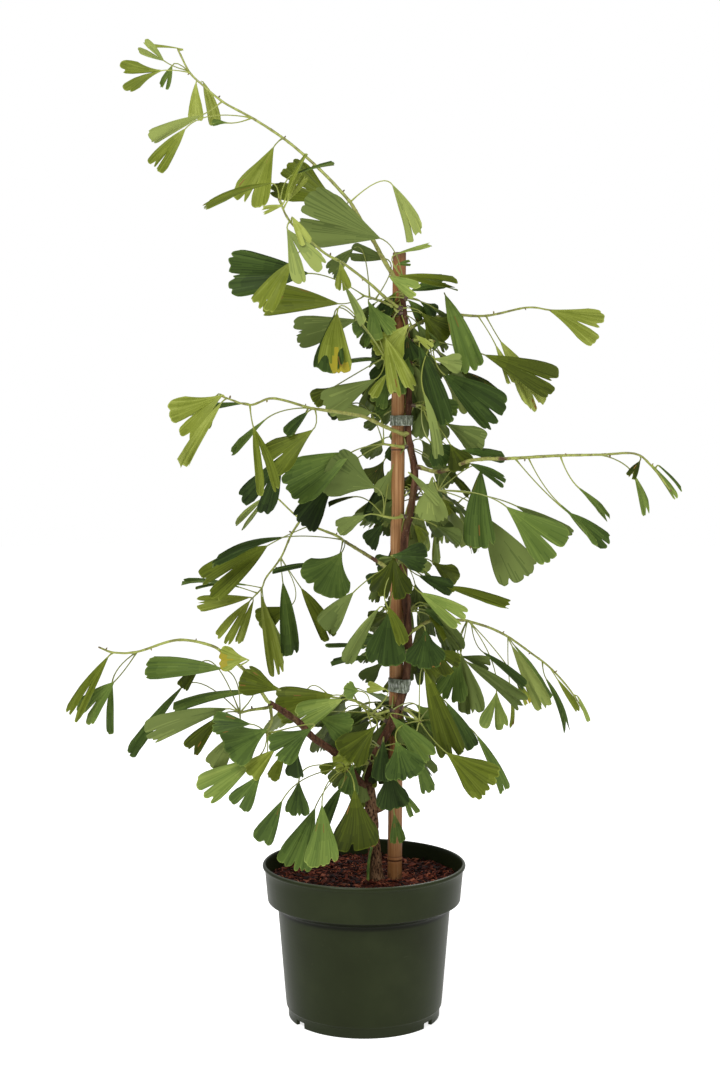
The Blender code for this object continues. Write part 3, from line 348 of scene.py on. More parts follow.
# Each bough leaves the trunk at a height and runs through its points to where its leaves begin.
boughs = dict(
    leader=dict(on="tip", route=[(22, -28, 809), (7, -26, 836), (-13, -20, 870)], radii=(2.5, 1.9)),
    left_high_bough=dict(on=630, route=[(22, -32, 637), (0, -48, 647), (-23, -66, 651), (-47, -86, 654)],
                         radii=(2.0, 1.6)),
    left_mid_bough=dict(on=474, route=[(24, -30, 488), (0, -2, 502), (-21, 30, 513)], radii=(2.2, 1.8)),
    left_low_bough=dict(on=258, route=[(-28, -48, 292), (-53, -68, 314), (-69, -84, 334), (-96, -104, 356)],
                        radii=(4.6, 2.9)),
    right_high_bough=dict(on=740, route=[(66, -6, 751), (91, 12, 758)], radii=(2.0, 1.7)),
    right_mid_bough=dict(on=594, route=[(80, -34, 590), (112, -56, 602), (148, -80, 604)], radii=(2.2, 1.8)),
    right_low_bough=dict(on=420, route=[(68, -2, 428), (82, 12, 429), (109, 34, 426)], radii=(2.0, 1.7)),
)

# Each mass is one stem with its leaves. A leaf's row says where it leaves the stem (a place on the route, 2.5
# is halfway from point 2 to point 3), how far its blade starts from there, its heading in the front view
# (0 right, 90 up) and its turn towards the viewer, its length and spread, the side it shows (0 upper side,
# 180 under side), how deeply it is split, and its tint.
masses = dict(
    leader_tip=dict(
        on=("leader", "tip"), radii=(1.8, 1.0),
        route=[(-41, -8, 903), (-79, 8, 939), (-117, 25, 967), (-151, 40, 988), (-173, 50, 1007),
               (-190, 56, 1024), (-203, 60, 1049)],
        leaves=[
            (0.0, (45, -5, 16), -60, 5, 66, 30, 150, 0.5, "young"),
            (0.1, (-12, 26, 0), 152, -8, 76, 58, 12, 0.5, "mid"),
            (2.2, (-10, -8, -12), 243, 12, 68, 52, 35, 0.35, "fresh"),
            (3.1, (-26, -8, -7), 175, 5, 18, 60, 50, 0.3, "fresh"),
            (3.1, (-71, -14, -15), 231, 8, 54, 34, 20, 0.4, "fresh"),
            (4.1, (-23, -8, -17), 204, 12, 64, 20, 150, 0.0, "young"),
            (5.4, (-2, -9, -4), -94, 6, 40, 36, 20, 0.15, "young"),
            (5.3, (3, 11, 2), -68, 0, 46, 28, 20, 0.0, "young"),
            (6.0, (-31, -5, 1), 190, 5, 46, 62, 15, 0.8, "fresh"),
            (6.0, (-21, 10, 9), -112, 0, 26, 40, 10, 0.5, "fresh"),
            (6.1, (-26, -14, 8), 143, 5, 30, 52, 160, 0.75, "young"),
            (7.0, (5, 0, 1), 168, 0, 38, 16, 65, 0.0, "young"),
        ]),
    high_left_shoot=dict(
        on=("trunk", 762), radii=(1.7, 1.0),
        route=[(22, -42, 771), (6, -55, 784), (-21, -78, 802), (-39, -94, 810), (-56, -108, 823),
               (-74, -120, 839), (-84, -128, 858)],
        leaves=[
            (6.0, (-2, -4, -9), -62, 8, 56, 56, 155, 0.8, "young"),
            (3.2, (1, -7, -4), -80, 5, 27, 60, 25, 0.3, "fresh"),
            (3.0, (2, -10, -25), -60, 5, 44, 22, 150, 0.0, "fresh"),
            (4.9, (-19, -6, -22), 236, 10, 56, 46, 25, 0.25, "fresh"),
            (5.9, (2, -8, 4), -62, 10, 30, 36, 20, 0.4, "young"),
            (6.6, (5, -5, 8), 60, 10, 30, 42, 20, 0.5, "young"),
            (6.8, (4, -10, 3), 74, 10, 50, 13, 60, 0.0, "fresh"),
            (6.9, (14, -10, 26), 20, 0, 42, 16, 55, 0.0, "mid"),
            (7.0, (-9, 7, 18), 191, 5, 72, 24, 58, 0.1, "mid"),
            (7.0, (3, -3, -5), 195, 5, 21, 42, 20, 0.4, "young"),
        ]),
    top_spray=dict(
        on=("trunk", 772), radii=(1.6, 1.2), route=[(46, -33, 783), (40, -37, 792)],
        leaves=[
            (2.0, (-24, -8, 40), 163, 6, 88, 58, 172, 0.25, "deep"),
            (2.0, (-8, 0, 24), 20, 5, 40, 14, 60, 0.0, "fresh"),
            (1.8, (-4, -6, 3), -4, -4, 64, 20, 35, 0.45, "mid"),
            (2.0, (-13, -12, -1), -28, 10, 33, 52, 20, 0.4, "fresh"),
            (2.0, (-5, 0, 14), 10, 0, 14, 40, 20, 0.3, "mid"),
        ]),
    top_left_spray=dict(
        on=("trunk", 757), radii=(1.7, 1.1), route=[(28, -27, 764), (12, -14, 772), (0, -8, 776)],
        leaves=[
            (3.0, (-60, 3, 24), 180, 0, 86, 46, 12, 0.15, "deep"),
            (3.0, (-28, -20, -10), 174, 0, 86, 34, 20, 0.1, "mid"),
            (1.6, (-14, -14, -2), -62, 12, 42, 62, 20, 0.4, "mid"),
            (2.0, (10, 4, 43), 167, 0, 38, 40, 160, 0.3, "mid"),
            (2.5, (-18, -4, 50), 226, 5, 37, 46, 155, 0.1, "mid"),
        ]),
    upper_left_spray=dict(
        on=("trunk", 715), radii=(1.8, 1.2), route=[(34, -28, 712), (22, -33, 710)],
        leaves=[
            (2.0, (-31, -8, 38), 194, 5, 67, 40, 165, 0.1, "mid"),
            (2.0, (-53, -30, 41), 262, 12, 60, 48, 20, 0.0, "mid"),
            (2.0, (-3, 12, -2), 176, 0, 47, 24, 55, 0.0, "mid"),
            (1.0, (12, -6, 31), 226, 10, 46, 70, 20, 0.1, "fresh"),
            (1.2, (-9, -12, 16), -70, 14, 62, 40, 15, 0.45, "fresh"),
            (2.0, (-11, -8, -24), 207, 5, 62, 38, 160, 0.0, "mid"),
            (2.0, (-54, 12, -31), 212, 0, 28, 60, 20, 0.0, "deep"),
            (1.8, (-2, -14, -20), 236, 10, 28, 45, 30, 0.0, "fresh"),
            (2.0, (-50, -38, 42), -95, 8, 62, 48, 20, 0.0, "yellow"),
        ]),
    left_high_leaves=dict(
        on=("left_high_bough", "tip"), radii=(1.5, 0.9),
        route=[(-58, -96, 656), (-91, -122, 664), (-113, -138, 657), (-137, -152, 664)],
        leaves=[
            (4.0, (-2, -1, 2), 212, 8, 58, 62, 15, 0.45, "young"),
            (3.9, (-6, -7, -6), 235, 8, 73, 17, 25, 0.15, "young"),
            (4.0, (-8, 8, 2), 245, 3, 34, 35, 20, 0.0, "young"),
            (3.0, (-7, 9, 2), 184, 0, 74, 16, 58, 0.3, "deep"),
            (3.0, (4, -5, -23), -73, 5, 68, 34, 20, 0.8, "fresh"),
            (0.8, (-46, -12, -13), 222, 5, 48, 22, 55, 0.0, "mid"),
            (0.1, (-3, -5, -22), 216, 6, 58, 56, 15, 0.4, "mid"),
            (0.9, (-27, 12, -48), 241, 0, 67, 50, 10, 0.5, "deep"),
            (0.5, (-6, -5, -4), 222, 5, 32, 34, 20, 0.0, "deep"),
        ]),
    left_inner_leaves=dict(
        on=("trunk", 617), radii=(1.8, 1.2), route=[(33, -27, 617), (20, -32, 619)],
        leaves=[
            (2.0, (-34, -14, -9), 209, 8, 78, 52, 12, 0.0, "mid"),
            (2.0, (-51, 8, -36), 232, 0, 64, 42, 15, 0.0, "deep"),
            (2.0, (-12, 14, 33), 176, -5, 38, 42, 150, 0.0, "mid"),
            (2.0, (-35, 22, 42), 205, 0, 26, 50, 10, 0.0, "deep"),
        ]),
    left_centre_leaves=dict(
        on=("trunk", 541), radii=(1.8, 1.2), route=[(31, -31, 541), (20, -33, 543)],
        leaves=[
            (2.0, (-8, -4, 30), 158, 8, 58, 76, 170, 0.0, "mid"),
            (2.0, (4, 27, 42), 251, 0, 56, 34, 12, 0.0, "deep"),
            (2.0, (-19, -2, 1), 206, 5, 34, 46, 170, 0.0, "fresh"),
            (2.0, (-32, 14, 20), 190, 0, 28, 30, 55, 0.0, "deep"),
        ]),
    left_mid_leaves=dict(
        on=("left_mid_bough", "tip"), radii=(1.7, 0.9),
        route=[(-31, 42, 519), (-59, 66, 529), (-77, 80, 540), (-94, 94, 555)],
        leaves=[
            (4.0, (-15, 4, 6), 224, 0, 50, 34, 150, 0.6, "young"),
            (2.0, (-48, -20, -22), 211, 5, 88, 38, 10, 0.45, "mid"),
            (0.2, (-66, -12, 3), 189, 0, 84, 15, 50, 0.0, "deep"),
            (0.1, (-17, -16, -26), 177, 0, 62, 13, 55, 0.0, "deep"),
            (0.1, (-1, -28, -12), 238, 12, 52, 96, 8, 0.0, "mid"),
        ],
        twigs=[dict(
            leavesAt=2.6, route=[(-82, 84, 517), (-94, 92, 491), (-111, 98, 468), (-116, 100, 456),
                                  (-127, 104, 444)],
            leaves=[
                (5.0, (-4, 0, 1), 187, 5, 60, 24, 15, 0.15, "fresh"),
                (5.0, (-3, -7, -3), 232, 8, 56, 32, 10, 0.5, "fresh"),
                (5.0, (0, 7, -5), 250, 0, 54, 14, 10, 0.0, "young"),
                (4.5, (-22, 12, 6), 163, 0, 68, 9, 50, 0.0, "mid"),
                (4.0, (-20, 20, 2), 172, 0, 60, 9, 50, 0.0, "mid"),
                (4.0, (0, -8, -9), -77, 8, 92, 17, 25, 0.2, "young"),
                (4.0, (6, 4, -28), -66, 5, 54, 16, 150, 0.0, "young"),
                (2.0, (3, -12, -28), -82, 3, 84, 20, 15, 0.0, "mid"),
                (2.0, (8, 10, -57), 207, 0, 42, 56, 15, 0.0, "mid"),
                (2.0, (24, -14, -34), -55, 8, 66, 28, 30, 0.3, "fresh"),
            ])]),
    centre_leaves=dict(
        on=("trunk", 495), radii=(1.8, 1.2), route=[(42, -37, 498), (38, -47, 499)],
        leaves=[
            (2.0, (-9, -8, 4), -3, 18, 38, 66, 15, 0.1, "deep"),
            (2.0, (-7, -2, 2), -96, 16, 46, 84, 10, 0.45, "deep"),
            (2.0, (-12, 2, -57), 264, 14, 57, 62, 12, 0.0, "deep"),
            (2.0, (-14, -14, -49), -60, 10, 44, 32, 25, 0.0, "mid"),
            (2.0, (20, -2, -18), -20, 5, 38, 38, 20, 0.15, "deep"),
            (2.0, (48, 2, -29), -14, 5, 70, 20, 45, 0.0, "mid"),
            (2.0, (21, -10, -35), -31, 10, 54, 42, 20, 0.35, "fresh"),
            (2.0, (-50, 0, -36), 226, 5, 50, 46, 155, 0.0, "mid"),
        ]),
    centre_low_leaves=dict(
        on=("trunk", 398), radii=(1.7, 1.2), route=[(32, -32, 399)],
        leaves=[
            (1.0, (-25, -3, -6), 178, 5, 44, 18, 45, 0.0, "deep"),
            (1.0, (-18, -10, 46), 234, 8, 68, 20, 150, 0.0, "fresh"),
            (1.0, (-17, 8, 16), 190, 0, 24, 70, 10, 0.0, "deep"),
            (1.0, (32, -16, 25), -90, 14, 41, 86, 8, 0.0, "deep"),
            (1.0, (-32, -6, 8), 178, 0, 42, 12, 50, 0.0, "deep"),
        ]),
    right_high_leaves=dict(
        on=("right_high_bough", "tip"), radii=(1.6, 1.0),
        route=[(133, 42, 759), (181, 78, 771), (209, 98, 770)],
        leaves=[
            (3.0, (0, 1, 0), -20, 0, 68, 48, 15, 0.45, "fresh"),
            (1.0, (16, -8, -29), -57, 5, 84, 28, 25, 0.2, "young"),
            (0.8, (19, -14, -34), -65, 5, 44, 22, 20, 0.3, "young"),
            (0.1, (-10, -28, 17), -68, 14, 86, 27, 25, 0.0, "mid"),
        ]),
    right_high_inner=dict(
        on=("trunk", 727), radii=(1.8, 1.2), route=[(61, -27, 729), (72, -31, 727)],
        leaves=[
            (2.0, (58, 36, -13), -20, -4, 90, 32, 15, 0.35, "mid"),
            (2.0, (2, -5, -19), -12, 8, 30, 58, 150, 0.0, "fresh"),
            (2.0, (13, 12, -35), -35, 2, 77, 48, 12, 0.2, "deep"),
            (1.5, (-9, -14, -8), -70, 8, 86, 28, 20, 0.0, "deep"),
            (2.0, (-10, -30, -57), -70, 8, 72, 14, 150, 0.0, "fresh"),
            (1.2, (-8, -10, 2), -35, 15, 20, 40, 20, 0.4, "young"),
            (2.0, (30, 26, -30), -30, 0, 54, 30, 20, 0.0, "deep"),
        ]),
    right_tie_leaves=dict(
        on=("trunk", 660), radii=(1.7, 1.2), route=[(61, -22, 660)],
        leaves=[
            (1.0, (27, -2, -20), -30, 5, 46, 56, 160, 0.0, "mid"),
            (1.0, (41, -12, -48), -3, 4, 48, 22, 45, 0.0, "deep"),
            (1.0, (8, -20, -39), -50, 12, 30, 90, 10, 0.0, "deep"),
            (1.0, (29, -24, -42), -60, 10, 30, 80, 12, 0.0, "deep"),
            (1.0, (7, 12, 5), 256, 0, 42, 36, 160, 0.0, "mid"),
        ]),
    right_mid_inner=dict(
        on=("trunk", 573), radii=(1.8, 1.2), route=[(67, -24, 573), (78, -29, 570)],
        leaves=[
            (2.0, (45, -2, 21), -96, 8, 84, 34, 15, 0.0, "mid"),
            (2.0, (71, -20, -17), -40, 5, 74, 50, 12, 0.3, "mid"),
            (2.0, (50, 20, -28), -58, -2, 80, 46, 160, 0.0, "mid"),
            (2.0, (84, 6, -17), -26, 0, 66, 17, 140, 0.0, "mid"),
            (1.2, (-21, -16, 15), -42, 10, 46, 18, 150, 0.0, "fresh"),
            (2.0, (-7, -6, 13), -92, 6, 48, 66, 165, 0.0, "fresh"),
            (2.0, (7, 4, 22), -40, 0, 40, 24, 30, 0.0, "deep"),
            (2.0, (34, -12, 28), -24, 4, 42, 30, 20, 0.35, "deep"),
        ]),
    right_mid_leaves=dict(
        on=("right_mid_bough", "tip"), radii=(1.7, 0.9),
        route=[(197, -108, 607), (235, -128, 608), (266, -144, 609), (281, -152, 597), (298, -160, 574)],
        leaves=[
            (0.1, (55, -8, -56), -37, 3, 52, 30, 25, 0.2, "mid"),
            (0.4, (31, -22, -48), -42, 0, 56, 12, 55, 0.0, "mid"),
            (1.0, (19, -5, -33), -40, 0, 46, 17, 50, 0.2, "mid"),
            (2.0, (37, -9, -7), 238, 0, 19, 50, 20, 0.4, "deep"),
            (2.0, (35, 6, -22), -66, 4, 42, 22, 30, 0.0, "fresh"),
            (4.0, (1, -1, 0), -50, 8, 40, 15, 40, 0.0, "fresh"),
            (4.2, (5, 5, 4), -40, 0, 34, 12, 50, 0.0, "mid"),
        ]),
    right_low_leaves=dict(
        on=("right_low_bough", "tip"), radii=(1.6, 0.9),
        route=[(140, 60, 415), (162, 76, 403), (189, 96, 383), (214, 112, 363), (239, 128, 335),
               (260, 140, 303)],
        leaves=[
            (0.1, (-5, -12, -38), -14, 5, 32, 46, 160, 0.2, "mid"),
            (0.1, (-10, -34, -36), 255, 12, 50, 58, 15, 0.35, "mid"),
            (0.1, (-1, -24, -43), -33, 5, 76, 28, 145, 0.3, "mid"),
            (0.3, (14, -2, -34), -33, 0, 62, 20, 40, 0.0, "deep"),
            (2.0, (4, -10, -10), -60, 6, 78, 22, 150, 0.1, "young"),
            (2.0, (9, 8, -12), -50, 0, 74, 14, 50, 0.0, "mid"),
            (3.6, (4, -8, -20), -58, 4, 68, 15, 40, 0.2, "mid"),
            (4.0, (8, -9, -13), -55, 0, 44, 15, 20, 0.0, "fresh"),
            (5.2, (5, 0, -2), -62, 0, 34, 12, 20, 0.0, "young"),
            (0.2, (31, 6, -80), -96, 4, 44, 62, 15, 0.6, "young"),
            (2.0, (5, 14, -66), -80, 0, 42, 12, 30, 0.0, "fresh"),
            (0.1, (-8, -26, -34), -78, 4, 66, 38, 160, 0.1, "mid"),
            (0.2, (53, 6, -66), -60, 0, 31, 26, 30, 0.2, "yellow"),
        ]),
    low_right_leaves=dict(
        on=("trunk", 340), radii=(1.9, 1.3), route=[(49, -38, 335), (58, -47, 328)],
        leaves=[
            (2.0, (6, 2, 52), -71, 8, 97, 24, 12, 0.0, "deep"),
            (2.0, (30, 18, 16), -60, 2, 60, 30, 15, 0.0, "deep"),
            (2.0, (29, -6, -33), -37, 6, 61, 56, 12, 0.1, "mid"),
            (2.0, (63, 28, -21), -57, 0, 72, 18, 25, 0.15, "mid"),
            (2.0, (-29, -20, 7), -46, 8, 60, 36, 12, 0.0, "mid"),
            (2.0, (-25, -36, -15), -72, 12, 42, 84, 12, 0.1, "mid"),
            (2.0, (-2, -12, -39), -68, 5, 38, 36, 15, 0.0, "mid"),
        ]),
    foot_leaves=dict(
        on=("trunk", 298), radii=(1.7, 1.2), route=[(17, -44, 291)],
        leaves=[
            (1.0, (3, -28, 20), -94, 14, 42, 44, 15, 0.0, "deep"),
            (1.0, (8, -18, -11), -82, 8, 44, 66, 12, 0.0, "deep"),
            (1.0, (25, -8, -39), -62, 5, 28, 40, 20, 0.4, "fresh"),
            (1.0, (15, 2, -64), -82, 0, 33, 42, 15, 0.3, "mid"),
        ]),
    low_centre_leaves=dict(
        on=("trunk", 334), radii=(1.7, 1.2), route=[(14, -37, 334), (4, -41, 336)],
        leaves=[
            (2.0, (-27, -22, 17), 202, 6, 52, 46, 15, 0.2, "fresh"),
            (2.0, (-37, 2, 18), 191, 2, 62, 52, 15, 0.0, "mid"),
            (2.0, (-6, -17, -40), 200, 4, 34, 56, 20, 0.1, "fresh"),
            (2.0, (-52, -12, -3), -22, 10, 38, 70, 15, 0.0, "mid"),
            (2.0, (8, -16, -12), 224, 8, 48, 66, 12, 0.1, "deep"),
            (2.0, (-10, -28, 27), 175, 10, 16, 110, 10, 0.0, "fresh"),
            (1.5, (13, 0, 26), 172, 0, 20, 50, 20, 0.2, "young"),
        ]),
    left_low_shoot=dict(
        on=("left_low_bough", "tip"), radii=(1.9, 1.0),
        route=[(-110, -118, 378), (-122, -125, 394), (-138, -135, 408), (-152, -142, 419), (-184, -155, 426),
               (-222, -168, 416), (-244, -174, 416), (-256, -178, 421)],
        leaves=[
            (7.0, (-6, 0, -5), 236, 5, 72, 22, 25, 0.6, "mid"),
            (6.0, (-23, -2, -30), 224, 5, 50, 46, 12, 0.5, "mid"),
            (6.0, (-26, 8, -33), -96, 0, 52, 14, 20, 0.0, "mid"),
            (2.2, (8, -12, 8), 178, 8, 28, 74, 12, 0.0, "yellow"),
            (1.8, (33, -12, -17), 160, 8, 40, 62, 12, 0.0, "deep"),
        ]),
    left_low_spray=dict(
        on=("left_low_bough", "tip"), radii=(1.8, 1.2), route=[(-114, -105, 349), (-126, -112, 347)],
        leaves=[
            (2.0, (-18, -14, 47), 175, 3, 78, 25, 35, 0.0, "mid"),
            (2.0, (-41, 0, 49), 231, 0, 32, 34, 20, 0.0, "deep"),
            (2.0, (11, 0, 22), 184, 3, 84, 14, 45, 0.0, "mid"),
            (2.0, (-14, -6, 5), 191, 3, 84, 30, 155, 0.1, "mid"),
            (2.0, (-61, 13, 23), 229, 0, 89, 14, 44, 0.0, "mid"),
            (1.9, (-21, -13, -2), 228, 0, 47, 36, 20, 0.15, "deep"),
            (2.0, (-5, 10, -23), 234, 0, 42, 46, 160, 0.0, "mid"),
        ]),
    left_low_hanging=dict(
        on=("left_low_bough", "tip"), radii=(1.8, 1.2), route=[(-94, -113, 339), (-98, -120, 327)],
        leaves=[
            (2.0, (1, -8, 6), 206, 6, 50, 72, 12, 0.0, "mid"),
            (2.0, (7, -4, -16), 222, 4, 37, 46, 20, 0.0, "fresh"),
            (2.0, (45, -14, 8), 214, 6, 47, 62, 12, 0.3, "mid"),
            (2.0, (-11, 8, -26), 212, 0, 70, 36, 15, 0.25, "fresh"),
            (2.0, (-7, -2, -41), 234, 3, 44, 46, 12, 0.3, "mid"),
            (2.0, (16, 12, -23), 245, 0, 30, 40, 15, 0.0, "mid"),
            (2.0, (30, 4, -20), 260, 0, 28, 60, 15, 0.0, "deep"),
            (2.0, (-17, -12, 12), 176, 5, 38, 50, 20, 0.1, "mid"),
        ]),
    low_left_hanging=dict(
        on=("trunk", 280), radii=(1.8, 1.2), route=[(-6, -44, 280), (-20, -58, 280)],
        leaves=[
            (2.0, (-64, -52, -24), 242, 3, 52, 34, 15, 0.0, "mid"),
            (2.0, (-47, -42, -6), -93, 5, 36, 58, 12, 0.1, "deep"),
            (2.0, (-31, -32, -36), 249, 5, 68, 44, 12, 0.1, "mid"),
            (2.0, (-23, -54, -28), -88, 5, 66, 42, 12, 0.0, "mid"),
            (2.0, (10, -38, -15), -87, 6, 67, 60, 12, 0.1, "deep"),
            (2.0, (-4, -22, -16), 242, 0, 50, 26, 15, 0.0, "deep"),
            (2.0, (-8, -12, 8), 205, 5, 20, 50, 15, 0.0, "deep"),
            (2.0, (8, -14, 6), -100, 5, 32, 60, 15, 0.0, "mid"),
        ]),
)

# The far side, which the photograph hides, is filled out by stems whose leaves go round by a seeded rule.
farMasses = dict(
    back_high_leaves=dict(on=("trunk", 704), radii=(1.9, 1.0), count=9, seed=3,
                          route=[(58, 4, 704), (66, 40, 706), (74, 80, 698)]),
    back_mid_leaves=dict(on=("trunk", 562), radii=(1.9, 1.0), count=10, seed=11,
                         route=[(64, 4, 562), (86, 44, 560), (112, 88, 548)]),
    back_low_leaves=dict(on=("trunk", 440), radii=(1.9, 1.0), count=9, seed=23,
                         route=[(54, 8, 444), (50, 44, 448), (44, 84, 440)]),
    back_foot_leaves=dict(on=("trunk", 322), radii=(1.9, 1.0), count=10, seed=31,
                          route=[(12, -14, 330), (-6, 18, 338), (-38, 58, 338)]),
)
farLeaf = dict(stalk=30, length=(44, 74), spread=(34, 72), hang=55, split=0.35, fold=(8, 30), droop=(8, 30))
goldenAngle = math.radians(137.5)


# A tapering limb: a smooth curve through its points, with its direction and radius at each step.
class Limb:
    def __init__(self, points, radiusAt, spacing=3.0):
        self.route, self.places = smoothRoute(points, spacing)
        self.tangents = directions(self.route)
        self.run = np.concatenate([[0], np.cumsum(np.linalg.norm(np.diff(self.route, axis=0), axis=1))])
        self.radii = radiusAt(self.route, self.run / self.run[-1])

    def beside(self, height):
        # axis point, direction and radius at a height, or at the tip
        if height == "tip":
            return self.route[-1], self.tangents[-1], self.radii[-1]
        rows = np.column_stack([self.route, self.tangents, self.radii])
        row = np.array([np.interp(height, self.route[:, 2], column) for column in rows.T])
        return row[:3], unit(row[3:6]), row[6]

    def leave(self, height, towards, radius):
        # where a side limb starts: a root inside this one, then two points clear of it and square to it
        place, tangent, ownRadius = self.beside(height)
        out = unit(np.array(towards, float) - place)
        if height == "tip" and out.dot(tangent) > 0.75:
            start = place + tangent * gap
            return [place - tangent * 2, start, start + tangent * 3]
        if height == "tip":
            place = place - tangent * (radius + 0.6)
        out = unit(out - tangent * out.dot(tangent))
        start = place + out * (ownRadius + gap)
        return [place + out * ownRadius * 0.3, start, start + out * 2.5]

    def at(self, place):
        # the point at a place on the route, such as 2.5
        return np.array([np.interp(place, self.places, self.route[:, k]) for k in range(3)])


def evenTaper(radii):
    return lambda route, along: radii[0] + (radii[1] - radii[0]) * along


# Trunk radius: flared at the soil, one taper to the fork and a thinner one above it.
def trunkTaper(route, along):
    t, z = trunkPlan, route[:, 2]
    flare = t["flare"] * np.clip(1 - (z - soil["top"]) / t["flareHeight"], 0, 1) ** 2
    low = t["foot"] + (t["fork"] - t["foot"]) * (z - soil["top"]) / (t["forkHeight"] - soil["top"])
    up = np.clip((z - t["forkHeight"]) / (route[-1, 2] - t["forkHeight"]), 0, 1)
    high = t["aboveFork"] + (t["tip"] - t["aboveFork"]) * up
    blend = np.clip((z - t["forkHeight"] - t["blendFrom"]) / t["blendLength"], 0, 1)
    return (low + flare) * (1 - blend) + high * blend


# Small leaves in the spurs, and the looks of every leaf.
spurPlan = dict(count=8, stalk=(12, 36), length=(20, 42), spread=(34, 82), split=0.3, fold=(10, 40),
                droop=(8, 30))
leafLook = dict(
    thickness=0.38, edgeThickness=0.22, footThickness=0.7,  # mm: middle, margin, more at the stalk
    columnWidth=1.5, columns=(10, 56), rows=8, shortRows=5, shortLength=30, margin=1.3,
    rib=0.085,  # height of every second column over its neighbours
    lobes=(2.5, 6), lobeDepth=(0.03, 0.075), teeth=0.014, corner=0.26,
    cleftPlace=0.75, cleftDepth=0.14, cleftWidth=0.07,
    pleats=(1.0, 3.0), pleatHeight=(0.014, 0.045), ripple=0.02, twist=14,
    fold=(8, 34), droop=(8, 30),  # degrees, for a leaf with a row of its own
    streaks=0.55, patches=0.8, fade=2.2, rustChance=0.22, paleMargin=0.75,
)
# Finishes from dark to pale: yellow greens, blue greens, under sides and stalks.
warmStops = [(29, 38, 4), (57, 66, 12), (88, 99, 26), (117, 127, 46), (152, 161, 80)]
coolStops = [(24, 36, 9), (48, 65, 24), (77, 97, 40), (107, 126, 56), (146, 160, 80)]
coolChance = dict(deep=0.65, mid=0.7, fresh=0.45, young=0.2, yellow=0.0)
underStops = [(72, 86, 40), (97, 111, 56), (126, 139, 73), (156, 166, 88)]
stalkStops = [(92, 98, 34), (122, 130, 50), (154, 162, 72)]
upperCount, underCount, stalkCount = 13, 6, 6
# Where each tint lies on the upper, under and stalk rows.
tintPlace = dict(deep=(2.9, 0.9, 2.4), mid=(5.9, 1.6, 2.8), fresh=(8.4, 2.7, 3.4), young=(10.3, 3.8, 4.0),
                 yellow=(9.0, 4.0, 4.0))


# A row of finishes whose colours run evenly through the stops.
def finishRamp(name, stops, count, roughness, **numbers):
    stops = np.array(stops, float)
    made = []
    for place in np.linspace(0, len(stops) - 1, count):
        colour = [np.interp(place, range(len(stops)), stops[:, k]) for k in range(3)]
        made.append(Recipe(f"{name}_{len(made) + 1}", tone(*colour), roughness, **numbers).material)
    return made


# Plain finishes, because a blade's pattern is made by its faces: warm row, under row, yellow, rust, cool row.
def makeLeafFinishes():
    finishes = finishRamp("leaf_warm", warmStops, upperCount, 0.5, Specular_IOR_Level=0.09)
    finishes += finishRamp("leaf_under", underStops, underCount, 0.65, Specular_IOR_Level=0.1)
    finishes.append(Recipe("leaf_yellow", tone(146, 136, 36), 0.5, Specular_IOR_Level=0.15).material)
    finishes.append(Recipe("leaf_rust", tone(116, 84, 34), 0.6, Specular_IOR_Level=0.2).material)
    finishes += finishRamp("leaf_cool", coolStops, upperCount, 0.5, Specular_IOR_Level=0.09)
    return finishes


def leafAxes(heading, near, face):
    # the blade's long axis and its upper side, from its headings in the front view
    h, n, f = (math.radians(v) for v in (heading, near, face))
    axis = np.array([math.cos(n) * math.cos(h), -math.sin(n), math.cos(n) * math.sin(h)])
    viewer = unit(np.array([0, -1, 0]) + axis * axis[1])
    side = np.cross(axis, viewer)
    if side[2] < -1e-6 or (abs(side[2]) <= 1e-6 and side[0] < 0):
        side = -side
    return axis, math.cos(f) * viewer + math.sin(f) * side


# Value noise over a blade; the 2.02 keeps its two edges apart.
def bladeNoise(u, along, cells, draws):
    return latticeNoise((u + 1) / 2.02, u * 0 + along, cells, draws.integers(1 << 30))


